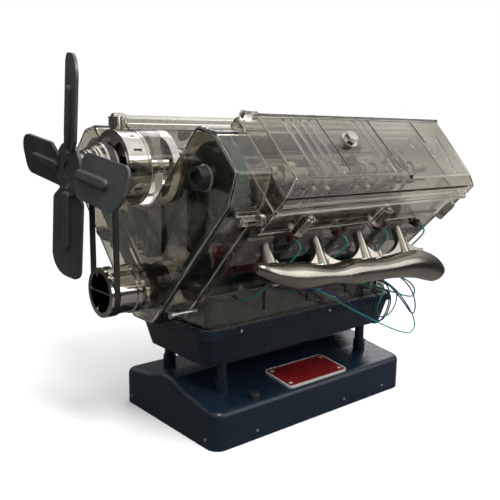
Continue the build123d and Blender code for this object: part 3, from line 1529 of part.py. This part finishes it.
shapes = {
    "base_shell": build_base_shell(),
    "base_bottom_cover": build_bottom_cover(),
    "electronics": group([build_batteries(), build_sound_board()]),
    "start_button": build_button(),
    "name_plate": build_name_plate(),
    "stand_posts": build_posts(),
    "oil_pan": build_oil_pan(),
    "crankcase_lower": build_crankcase_lower(),
    "engine_block": build_block(),
    "cylinder_liners": build_liners(),
    "cylinder_head_right": right(build_head(right_cylinders)),
    "cylinder_head_left": left(build_head(left_cylinders)),
    "valve_cover_right": right(build_cover()),
    "valve_cover_left": left(build_cover()),
    "filler_caps": build_caps(),
    "spark_plugs": build_plugs(),
    "timing_cover": build_timing_cover(),
    "exhaust_manifold_right": build_exhaust(right_cylinders),
    "exhaust_manifold_left": mirror(build_exhaust(left_cylinders), about=Plane.YZ),
    "intake_manifold": build_intake(),
    "water_pump": build_pump(),
    "alternator_drum": build_drum(),
    "rear_cover": build_rear_cover(),
    "screws": build_screws(),
    "ignition_leads": build_ignition_leads(),
    "wire_teal": wire("teal wire", teal_route),
    "wire_blue": group([wire("blue wire", blue_route), wire("blue loop", blue_loop_route),
                        wire("low blue wire", blue_low_route)]),
    "wire_loop": group([wire("loop wire", loop_route), wire("high teal wire", teal_high_route)]),
    "crankshaft": build_crankshaft(),
    "crank_pulley": build_crank_pulley(),
    "crank_timing_pulley": build_crank_timing_pulley(),
    "timing_belt": build_timing_belt(),
    "fan_belt": build_fan_belt(),
    "fan_pulley": build_fan_pulley(),
    "fan": build_fan(),
    "crank_gear": build_crank_gear(),
    "motor_pinion": build_pinion(),
    "drive_motor": build_motor(),
    "camshaft_right": right(build_camshaft(right_cylinders)),
    "camshaft_left": left(build_camshaft(left_cylinders)),
    "cam_pulley_right": build_cam_pulley(1),
    "cam_pulley_left": build_cam_pulley(-1),
    "valves_right": right(build_valves(right_cylinders)),
    "valves_left": left(build_valves(left_cylinders)),
}
for index in range(cylinder_count):
    for side, place, cylinders in ((1, right, right_cylinders), (-1, left, left_cylinders)):
        height = gudgeon_height(index, side)
        number = index + 1 + (0 if side > 0 else cylinder_count)
        shapes["piston_" + str(number)] = place(build_piston(cylinders[index], height))
        shapes["connecting_rod_" + str(number)] = place(build_rod(cylinders[index], height, index, side))
for name, shape in shapes.items():
    save(shape, name)
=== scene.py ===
import json
import math

import bpy
from mathutils import Matrix, Vector


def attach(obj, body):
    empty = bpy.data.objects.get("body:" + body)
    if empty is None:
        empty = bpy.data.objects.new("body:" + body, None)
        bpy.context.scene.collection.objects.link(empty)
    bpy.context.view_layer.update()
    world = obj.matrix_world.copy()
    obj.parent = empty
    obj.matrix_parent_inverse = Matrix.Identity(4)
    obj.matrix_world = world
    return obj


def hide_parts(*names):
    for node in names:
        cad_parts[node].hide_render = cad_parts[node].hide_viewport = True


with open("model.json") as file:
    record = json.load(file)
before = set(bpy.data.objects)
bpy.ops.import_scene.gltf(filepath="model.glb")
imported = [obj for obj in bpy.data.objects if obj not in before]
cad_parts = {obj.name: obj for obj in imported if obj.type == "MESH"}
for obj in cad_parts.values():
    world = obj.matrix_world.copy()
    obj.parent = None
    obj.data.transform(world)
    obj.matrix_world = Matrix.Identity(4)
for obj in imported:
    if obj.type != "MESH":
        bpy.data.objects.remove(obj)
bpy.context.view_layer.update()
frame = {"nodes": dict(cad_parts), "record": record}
nodes = frame["nodes"]
mm = 0.001


# Camera at the photograph's viewing angle

camera_place = Vector((390.6, -351.2, 214.7)) * mm
camera_azimuth = math.radians(49.7)
camera_elevation = math.radians(10.2)
camera_roll = math.radians(0.8)
camera_lens = 47.8
camera_shift = -0.002
camera_near = 10 * mm


def link_object(name, data):
    """A new object in the scene that shows this data."""
    piece = bpy.data.objects.new(name, data)
    bpy.context.scene.collection.objects.link(piece)
    return piece


def make_camera():
    """The camera's own +Z points back from the object, and the roll turns its sides."""
    back = Vector((math.sin(camera_azimuth) * math.cos(camera_elevation),
                   -math.cos(camera_azimuth) * math.cos(camera_elevation), math.sin(camera_elevation)))
    level_right = Vector((math.cos(camera_azimuth), math.sin(camera_azimuth), 0))
    level_up = back.cross(level_right)
    right = level_right * math.cos(camera_roll) + level_up * math.sin(camera_roll)
    up = level_up * math.cos(camera_roll) - level_right * math.sin(camera_roll)
    data = bpy.data.cameras.new("camera")
    data.lens = camera_lens
    data.shift_x = camera_shift
    data.clip_start = camera_near
    camera = link_object("camera", data)
    turn = Matrix((right, up, back)).transposed().to_4x4()
    camera.matrix_world = Matrix.Translation(camera_place) @ turn
    bpy.context.scene.camera = camera


# Material helpers

# How far the rounded and the plain surface direction agree at a sharp edge and on an open face
edge_agreement = (0.88, 0.995)


def rgb(red, green, blue):
    """An opaque colour."""
    return red, green, blue, 1.0


def feed(tree, socket, value):
    """A socket takes either another node's output or a plain value."""
    if isinstance(value, bpy.types.NodeSocket):
        tree.links.new(value, socket)
    else:
        socket.default_value = value


class Shader:
    """A material's node tree with short calls for what is used often."""

    def __init__(self, name):
        self.material = bpy.data.materials.new(name)
        self.material.use_nodes = True
        self.tree = self.material.node_tree
        self.surface = self.tree.nodes["Principled BSDF"]
        self.output = self.tree.nodes["Material Output"]
        self.place = self.tree.nodes.new("ShaderNodeTexCoord").outputs["Object"]

    def fill(self, node, inputs):
        """The node with these inputs; an underscore in a name stands for a space."""
        for name, value in inputs.items():
            feed(self.tree, node.inputs[name.replace("_", " ")], value)
        return node

    def add(self, kind, **inputs):
        """A new node with these inputs."""
        return self.fill(self.tree.nodes.new(kind), inputs)

    def set(self, **inputs):
        """Inputs of the material's own surface."""
        self.fill(self.surface, inputs)

    def noise(self, size, detail, stretch=(1, 1, 1)):
        """A noise whose marks are about this size, in metres."""
        scale = tuple(share / size for share in stretch)
        mapping = self.add("ShaderNodeMapping", Vector=self.place, Scale=scale)
        return self.add("ShaderNodeTexNoise", Vector=mapping.outputs["Vector"], Scale=1.0,
                        Detail=detail).outputs["Fac"]

    def spread(self, factor, low, high, start=0.35, end=0.65):
        """From low to high while the factor goes from start to end, between which most of a noise lies."""
        return self.add("ShaderNodeMapRange", Value=factor, From_Min=start, From_Max=end, To_Min=low,
                        To_Max=high).outputs["Result"]

    def combine(self, operation, first, second=0.0):
        """The result of one arithmetic step."""
        node = self.tree.nodes.new("ShaderNodeMath")
        node.operation = operation
        feed(self.tree, node.inputs[0], first)
        feed(self.tree, node.inputs[1], second)
        return node.outputs["Value"]

    def blend(self, factor, first, second):
        """The first colour where the factor is 0 and the second where it is 1."""
        node = self.tree.nodes.new("ShaderNodeMix")
        node.data_type = "RGBA"
        sockets = {(socket.name, socket.type): socket for socket in node.inputs}
        feed(self.tree, node.inputs[0], factor)
        feed(self.tree, sockets["A", "RGBA"], first)
        feed(self.tree, sockets["B", "RGBA"], second)
        return [socket for socket in node.outputs if socket.type == "RGBA"][0]

    def mottle(self, marks, first, second):
        """Two colours mixed by the marks of a noise."""
        return self.blend(self.spread(marks, 0.0, 1.0), first, second)

    def edge_mask(self, radius):
        """1 near a sharp edge and 0 on the open faces."""
        rounded = self.add("ShaderNodeBevel", Radius=radius).outputs["Normal"]
        plain = self.tree.nodes.new("ShaderNodeNewGeometry").outputs["Normal"]
        agree = self.tree.nodes.new("ShaderNodeVectorMath")
        agree.operation = "DOT_PRODUCT"
        self.tree.links.new(rounded, agree.inputs[0])
        self.tree.links.new(plain, agree.inputs[1])
        return self.spread(self.combine("ABSOLUTE", agree.outputs["Value"]), 1.0, 0.0, *edge_agreement)

    def bump(self, height, depth, strength, edge=0.0):
        """Unevenness of the surface; its edges are broken by a small radius where one is given."""
        node = self.add("ShaderNodeBump", Height=height, Distance=depth, Strength=strength)
        if edge:
            rounded = self.add("ShaderNodeBevel", Radius=edge).outputs["Normal"]
            self.tree.links.new(rounded, node.inputs["Normal"])
        self.set(Normal=node.outputs["Normal"])

    def show_mix(self, factor, first, second):
        """The material shows the first surface where the factor is 0 and the second where it is 1."""
        mix = self.tree.nodes.new("ShaderNodeMixShader")
        for socket, shown in zip(mix.inputs, (factor, first, second)):
            self.tree.links.new(shown, socket)
        self.tree.links.new(mix.outputs["Shader"], self.output.inputs["Surface"])


# Clear plastic

clear_ior = 1.49
clear_edge = 0.6 * mm
# Painted highlight on the clear plastic's edges: a pale colour that stands in for light caught there, and the
# share of clearness it takes away so that it shows
painted_edge_highlight = rgb(0.80, 0.78, 0.72)
painted_highlight_share = 0.55
flow_size = 38 * mm
flow_stretch = (1, 0.4, 1)
dust_size = 1.6 * mm
dust_dulling = 2.6
sink_size = 24 * mm
sink_depth = 0.35 * mm


def clear_plastic(name, tint, deep_tint, roughness):
    """Smoky see-through plastic with faint flow marks, fine dust that dulls it in places and a painted
    highlight on its edges.
    """
    shader = Shader(name)
    flow = shader.noise(flow_size, detail=4.0, stretch=flow_stretch)
    colour = shader.mottle(flow, tint, deep_tint)
    dust = shader.noise(dust_size, detail=6.0)
    # Painted highlight: near the edges the colour is blended to a pale one and the plastic is made less
    # clear, standing in for light that the edges catch
    edge = shader.edge_mask(clear_edge)
    clearness = shader.combine("SUBTRACT", 1.0, shader.combine("MULTIPLY", edge, painted_highlight_share))
    shader.set(Base_Color=shader.blend(edge, colour, painted_edge_highlight),
               Roughness=shader.spread(dust, roughness, roughness * dust_dulling, start=0.4, end=0.75),
               IOR=clear_ior, Transmission_Weight=clearness, Specular_IOR_Level=0.5)
    shader.bump(shader.noise(sink_size, detail=2.0), sink_depth, strength=0.3)
    let_lamps_through(shader, deep_tint)
    return shader.material


def let_lamps_through(shader, tint):
    """Rays from lamps pass the plastic, so that what it shuts in is lit."""
    clear = shader.add("ShaderNodeBsdfTransparent", Color=tint)
    path = shader.tree.nodes.new("ShaderNodeLightPath")
    shader.show_mix(path.outputs["Is Shadow Ray"], shader.surface.outputs["BSDF"], clear.outputs["BSDF"])


# Moulded plastic and rubber

moulded_ior = 1.5
moulded_edge = 0.4 * mm
patch_size = 22 * mm
gloss_size = 5 * mm
polished_share = 0.85
dulled_share = 1.2
grain_size = 0.35 * mm
grain_depth = 0.006 * mm
rubber_patch_size = 3 * mm
rubber_gloss_size = 1.2 * mm
rubber_roughness = (0.5, 0.75)
rubber_grain_size = 0.4 * mm
rubber_grain_depth = 0.05 * mm


def moulded_plastic(name, light, dark, roughness, shine=0.5):
    """Opaque moulded plastic with a fine grain and a slightly uneven gloss."""
    shader = Shader(name)
    patches = shader.noise(patch_size, detail=4.0)
    gloss = shader.noise(gloss_size, detail=5.0)
    shader.set(Base_Color=shader.mottle(patches, dark, light),
               Roughness=shader.spread(gloss, roughness * polished_share, roughness * dulled_share),
               IOR=moulded_ior, Specular_IOR_Level=shine)
    shader.bump(shader.noise(grain_size, detail=2.0), grain_depth, strength=0.2, edge=moulded_edge)
    return shader.material


def rubber(name, light, dark):
    """Dull rubber with a rough grain."""
    shader = Shader(name)
    patches = shader.noise(rubber_patch_size, detail=4.0)
    gloss = shader.noise(rubber_gloss_size, detail=4.0)
    shader.set(Base_Color=shader.mottle(patches, dark, light),
               Roughness=shader.spread(gloss, *rubber_roughness))
    shader.bump(shader.noise(rubber_grain_size, detail=2.0), rubber_grain_depth, strength=0.6)
    return shader.material


# Bright metal

smear_size = 9 * mm
smear_stretch = (1, 0.35, 1)
smear_dulling = 2.2
wave_size = 16 * mm
wave_depth = 0.25 * mm
satin_smear_size = 11 * mm
satin_smear_stretch = (1, 0.3, 1)
satin_smear_dulling = 1.7
satin_wave_depth = 0.2 * mm
crank_height = 107.5 * mm
flange_face = 32.4 * mm
diagonal = math.sqrt(0.5)
flange_metal_loss = 0.7
flange_dulling = 0.25


def plated(name, light, dark, roughness):
    """Bright plating, a little wavy, with faint smears."""
    shader = Shader(name)
    smears = shader.noise(smear_size, detail=5.0, stretch=smear_stretch)
    shader.set(Base_Color=shader.mottle(smears, dark, light), Metallic=1.0,
               Roughness=shader.spread(smears, roughness, roughness * smear_dulling, start=0.4, end=0.8))
    shader.bump(shader.noise(wave_size, detail=1.0), wave_depth, strength=0.25)
    return shader.material


def satin_log(name, light, dark, plate_colour, roughness):
    """Satin plating on the exhaust log; its flange plates by the heads are duller and warm grey."""
    shader = Shader(name)
    place = shader.add("ShaderNodeSeparateXYZ", Vector=shader.place)
    # The plates lie nearest to the bank's middle plane, which leans 45 degrees through the crank's axis
    outward = shader.combine("ABSOLUTE", place.outputs["X"])
    rise = shader.combine("SUBTRACT", place.outputs["Z"], crank_height)
    across = shader.combine("MULTIPLY", shader.combine("SUBTRACT", outward, rise), diagonal)
    plate = shader.combine("LESS_THAN", across, flange_face)
    smears = shader.noise(satin_smear_size, detail=5.0, stretch=satin_smear_stretch)
    metal = shader.mottle(smears, dark, light)
    sheen = shader.spread(smears, roughness, roughness * satin_smear_dulling, start=0.4, end=0.8)
    loss = shader.combine("MULTIPLY", plate, flange_metal_loss)
    dulling = shader.combine("MULTIPLY", plate, flange_dulling)
    shader.set(Base_Color=shader.blend(plate, metal, plate_colour),
               Metallic=shader.combine("SUBTRACT", 1.0, loss),
               Roughness=shader.combine("ADD", sheen, dulling))
    shader.bump(shader.noise(wave_size, detail=1.0), satin_wave_depth, strength=0.25)
    return shader.material


# Name plate

plate_middle_x = 41.5 * mm
plate_middle_y = 3.2 * mm
plate_half_width = 15.5 * mm
plate_half_length = 31.5 * mm
plate_border = 1.4 * mm
plate_slope_cosine = 0.991
rivet_inset = 5.0 * mm
rivet_radius = 1.5 * mm
enamel_patch_size = 14 * mm
enamel_gloss_size = 3 * mm
enamel_roughness = (0.16, 0.3)
enamel_wave_size = 6 * mm
enamel_wave_depth = 0.06 * mm
bright_metallic = 0.3


def distance_from(shader, coordinate, middle):
    """How far the surface is from the middle, along one axis."""
    return shader.combine("ABSOLUTE", shader.combine("SUBTRACT", coordinate, middle))


def enamelled_plate(name, light, dark, metal):
    """Dark red enamel inside a bright metal border with four bright rivets."""
    shader = Shader(name)
    place = shader.add("ShaderNodeSeparateXYZ", Vector=shader.place)
    level_across = distance_from(shader, place.outputs["X"], plate_middle_x)
    across = shader.combine("DIVIDE", level_across, plate_slope_cosine)
    along = distance_from(shader, place.outputs["Y"], plate_middle_y)
    long_border = shader.combine("GREATER_THAN", across, plate_half_width - plate_border)
    short_border = shader.combine("GREATER_THAN", along, plate_half_length - plate_border)
    border = shader.combine("MAXIMUM", long_border, short_border)
    rivet_across = shader.combine("SUBTRACT", across, plate_half_width - rivet_inset)
    rivet_along = shader.combine("SUBTRACT", along, plate_half_length - rivet_inset)
    across_squared = shader.combine("MULTIPLY", rivet_across, rivet_across)
    along_squared = shader.combine("MULTIPLY", rivet_along, rivet_along)
    away = shader.combine("SQRT", shader.combine("ADD", across_squared, along_squared))
    bright = shader.combine("MAXIMUM", border, shader.combine("LESS_THAN", away, rivet_radius))
    enamel = shader.mottle(shader.noise(enamel_patch_size, detail=4.0), dark, light)
    gloss = shader.noise(enamel_gloss_size, detail=5.0)
    shader.set(Base_Color=shader.blend(bright, enamel, metal),
               Metallic=shader.combine("MULTIPLY", bright, bright_metallic),
               Roughness=shader.spread(gloss, *enamel_roughness))
    shader.bump(shader.noise(enamel_wave_size, detail=2.0), enamel_wave_depth, strength=0.3)
    return shader.material


# Materials by slot: the function that makes each one, then its colours, roughness and shine

looks = {
    "smoky_clear": (clear_plastic, rgb(0.66, 0.64, 0.575), rgb(0.50, 0.48, 0.415), 0.02),
    "smoky_dark": (clear_plastic, rgb(0.48, 0.46, 0.41), rgb(0.36, 0.34, 0.30), 0.02),
    "clear_liner": (clear_plastic, rgb(0.93, 0.92, 0.90), rgb(0.88, 0.87, 0.84), 0.03),
    "navy_plastic": (moulded_plastic, rgb(0.0075, 0.0165, 0.029), rgb(0.006, 0.0135, 0.024), 0.28, 0.3),
    "black_plastic": (moulded_plastic, rgb(0.02, 0.02, 0.021), rgb(0.011, 0.011, 0.012), 0.4),
    "fan_plastic": (moulded_plastic, rgb(0.062, 0.065, 0.070), rgb(0.042, 0.044, 0.048), 0.45),
    "plate_red": (enamelled_plate, rgb(0.20, 0.012, 0.013), rgb(0.14, 0.008, 0.010), rgb(0.72, 0.71, 0.69)),
    "chrome": (plated, rgb(0.74, 0.70, 0.64), rgb(0.52, 0.49, 0.44), 0.07),
    "satin_metal": (satin_log, rgb(0.36, 0.335, 0.285), rgb(0.25, 0.232, 0.20), rgb(0.20, 0.185, 0.17), 0.15),
    "steel": (plated, rgb(0.75, 0.75, 0.74), rgb(0.55, 0.55, 0.55), 0.18),
    "grey_plastic": (moulded_plastic, rgb(0.34, 0.33, 0.31), rgb(0.22, 0.21, 0.20), 0.3),
    "rod_plastic": (moulded_plastic, rgb(0.12, 0.12, 0.12), rgb(0.07, 0.07, 0.07), 0.35),
    "plug_red": (moulded_plastic, rgb(0.10, 0.012, 0.010), rgb(0.05, 0.008, 0.007), 0.3),
    "belt_green": (rubber, rgb(0.008, 0.04, 0.026), rgb(0.004, 0.02, 0.014)),
    "belt_black": (rubber, rgb(0.018, 0.018, 0.018), rgb(0.008, 0.008, 0.008)),
    "board": (moulded_plastic, rgb(0.05, 0.2, 0.08), rgb(0.03, 0.13, 0.05), 0.4),
    "wire_teal": (moulded_plastic, rgb(0.04, 0.40, 0.36), rgb(0.03, 0.28, 0.26), 0.35),
    "wire_blue": (moulded_plastic, rgb(0.014, 0.045, 0.24), rgb(0.010, 0.03, 0.15), 0.35),
}
materials = {slot: make(slot, *look) for slot, (make, *look) in looks.items()}
for part in frame["record"]["subparts"]:
    slots = nodes[part["node"]].data.materials
    slots.clear()
    slots.append(materials[part["material_slot"]])


# Wires and spark plug leads: their routes in millimetres, as the control points of smooth curves

wire_radius = 0.6 * mm
teal_route = [(40, -14, 101), (50, -14, 101), (59, -8, 101.5), (64, 6, 93), (64, 30, 79.5), (64, 55, 67),
              (65, 78, 56), (66, 92, 50.5), (66, 101.5, 48), (66, 107.5, 51.5), (65.5, 107.5, 58.5),
              (64.5, 103, 67), (62.5, 95, 78), (58, 86, 89), (50, 78, 96), (40, 78, 96)]
blue_route = [(40, -8, 98), (50, -8, 98), (57, 0, 98.5), (58.5, 12, 94), (58.5, 30, 85), (58.5, 45, 73.5),
              (58.5, 55.5, 64.5), (58.5, 65.5, 60.8), (58.3, 75.5, 65.3), (57.5, 82, 75), (55.5, 85, 86),
              (49, 84.5, 92.5), (40, 84.5, 92.5)]
blue_loop_route = [(40, 56, 99), (50, 56, 99), (61, 58, 100), (70, 63, 97), (71, 73, 88.5), (71, 84, 78.5),
                   (71, 93, 69), (71, 98.5, 66.5), (70.5, 101, 73), (70, 98, 83), (67, 93.5, 92),
                   (59, 90, 98.5), (50, 90, 100), (40, 90, 100)]
blue_low_route = [(40, 80, 85), (47.5, 80, 85), (48.5, 76.5, 78), (48.2, 73, 69), (48, 75.5, 61),
                  (48, 82.5, 57.5), (48, 90, 59.5), (48, 95, 66.5), (48.5, 96.5, 75), (48.5, 93, 82),
                  (40, 93, 84)]
loop_route = [(40, 88, 88), (47, 88, 88), (51.5, 82, 83.5), (52.5, 75, 77), (52.5, 72, 70), (52.5, 76, 64),
              (52.5, 84.5, 62), (52.5, 93, 65.5), (52.5, 98.5, 72.5), (52, 99.5, 81.5), (47, 97, 87),
              (40, 97, 87)]
teal_high_route = [(40, 62, 92), (50, 62, 92), (62, 64, 92), (74, 70, 89), (77, 80, 85.5), (77, 88.5, 84.5),
                   (75.5, 92, 90), (70, 89, 96.5), (61, 84, 99.5), (50, 82, 101.5), (40, 82, 101.5)]
lead_route = [(86.989, 0, 145.93), (91.369, 0, 144.899), (93.2, 1, 140.5), (88.5, 0.5, 134.5), (79, -1, 125),
              (63.5, -3.5, 109.5), (49.5, -6, 98), (40, -6, 98)]
lead_length = 79.2
right_cylinders = (-58, -14, 30, 74)


def wire_piece(name, route, slot, node):
    """A wire as a smooth curve along its route."""
    curve = bpy.data.curves.new(name, "CURVE")
    curve.dimensions = "3D"
    curve.bevel_depth = wire_radius
    curve.bevel_resolution = 4
    curve.use_fill_caps = True
    spline = curve.splines.new("NURBS")
    spline.points.add(len(route) - 1)
    for point, place in zip(spline.points, route):
        point.co = (*(Vector(place) * mm), 1.0)
    spline.order_u = 3
    spline.use_endpoint_u = True
    spline.resolution_u = 12
    piece = link_object(name, curve)
    curve.materials.append(materials[slot])
    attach(piece, "engine")
    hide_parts(node)
    return piece


# Each wire's name, route, slot, CAD node and length in millimetres
wires = [("teal_wire", teal_route, "wire_teal", "wire_teal", 216.6),
         ("blue_wire", blue_route, "wire_blue", "wire_blue", 146.8),
         ("blue_loop_wire", blue_loop_route, "wire_blue", "wire_blue", 134.0),
         ("blue_low_wire", blue_low_route, "wire_blue", "wire_blue", 78.8),
         ("loop_wire", loop_route, "wire_teal", "wire_loop", 87.8),
         ("teal_high_wire", teal_high_route, "wire_teal", "wire_loop", 101.1)]
for number, y in enumerate(right_cylinders, 1):
    route = [(x, y + shift, z) for x, shift, z in lead_route]
    wires.append((f"ignition_lead_{number}", route, "wire_teal", "ignition_leads", lead_length))
for name, route, slot, node, length in wires:
    wire_piece(name, route, slot, node)


# Floor, background and lights

floor_reach = 3.0
floor_mark_size = 0.3
floor_fade = (0.22, 0.62)
floor_pale = rgb(0.90, 0.90, 0.90)
floor_palest = rgb(0.94, 0.94, 0.94)
floor_in_reflections = rgb(0.16, 0.155, 0.15)
room_dark = 0.05
room_bright = 1.0
room_heights = (0.0, 0.8)
lamp_target = Vector((0, 0, 0.13))
# Each lamp's name, place, width in metres and power in watts
lamps = [("key", (0.6, -0.15, 1.0), 0.4, 10),
         ("fill", (0.85, 0.6, 0.45), 0.8, 3.5),
         ("rim", (-0.5, 0.8, 0.9), 0.9, 6)]


def straight_rays(tree):
    """1 for rays from the camera and for those that came through something clear."""
    path = tree.nodes.new("ShaderNodeLightPath")
    either = tree.nodes.new("ShaderNodeMath")
    either.operation = "MAXIMUM"
    tree.links.new(path.outputs["Is Camera Ray"], either.inputs[0])
    tree.links.new(path.outputs["Is Transmission Ray"], either.inputs[1])
    return either.outputs["Value"]


def smooth_range(tree, value, start, end):
    """A smooth rise from 0 to 1 while the value goes from start to end."""
    rise = tree.nodes.new("ShaderNodeMapRange")
    rise.interpolation_type = "SMOOTHSTEP"
    tree.links.new(value, rise.inputs["Value"])
    rise.inputs["From Min"].default_value = start
    rise.inputs["From Max"].default_value = end
    return rise


def make_stage():
    """A floor that is pale to the camera and dark in reflections, keeps shadows and fades out far away."""
    mesh = bpy.data.meshes.new("floor")
    corners = [(x * floor_reach, y * floor_reach, 0) for x, y in ((-1, -1), (1, -1), (1, 1), (-1, 1))]
    mesh.from_pydata(corners, [], [(0, 1, 2, 3)])
    floor = link_object("floor", mesh)
    shader = Shader("floor")
    pale = shader.blend(shader.noise(floor_mark_size, detail=2.0), floor_pale, floor_palest)
    shader.set(Base_Color=shader.blend(straight_rays(shader.tree), floor_in_reflections, pale),
               Roughness=0.8, Specular_IOR_Level=0.0)
    away = shader.add("ShaderNodeVectorMath", Vector=shader.place)
    away.operation = "LENGTH"
    fade = smooth_range(shader.tree, away.outputs["Value"], *floor_fade)
    backdrop = shader.add("ShaderNodeBsdfTransparent", Color=rgb(1, 1, 1))
    shader.show_mix(fade.outputs["Result"], shader.surface.outputs["BSDF"], backdrop.outputs["BSDF"])
    mesh.materials.append(shader.material)


def make_world():
    """White to the camera and through the clear plastic; otherwise a room, dark below and bright above."""
    world = bpy.data.worlds.new("studio")
    bpy.context.scene.world = world
    world.use_nodes = True
    tree = world.node_tree
    background = tree.nodes["Background"]
    split = tree.nodes.new("ShaderNodeSeparateXYZ")
    heading = tree.nodes.new("ShaderNodeTexCoord").outputs["Generated"]
    tree.links.new(heading, split.inputs["Vector"])
    room = smooth_range(tree, split.outputs["Z"], *room_heights)
    room.inputs["To Min"].default_value = room_dark
    room.inputs["To Max"].default_value = room_bright
    strength = tree.nodes.new("ShaderNodeMapRange")
    tree.links.new(straight_rays(tree), strength.inputs["Value"])
    tree.links.new(room.outputs["Result"], strength.inputs["To Min"])
    strength.inputs["To Max"].default_value = 1.0
    tree.links.new(strength.outputs["Result"], background.inputs["Strength"])
    background.inputs["Color"].default_value = rgb(1, 1, 1)


def make_lamp(name, place, size, power):
    """A round lamp that faces the object's middle."""
    data = bpy.data.lights.new(name, "AREA")
    data.shape = "DISK"
    data.size = size
    data.energy = power
    light = link_object(name, data)
    light.location = place
    light.rotation_euler = (lamp_target - Vector(place)).to_track_quat("-Z", "Y").to_euler()


for lamp in lamps:
    make_lamp(*lamp)
make_stage()
make_world()
make_camera()
bpy.context.scene.view_settings.view_transform = "Standard"
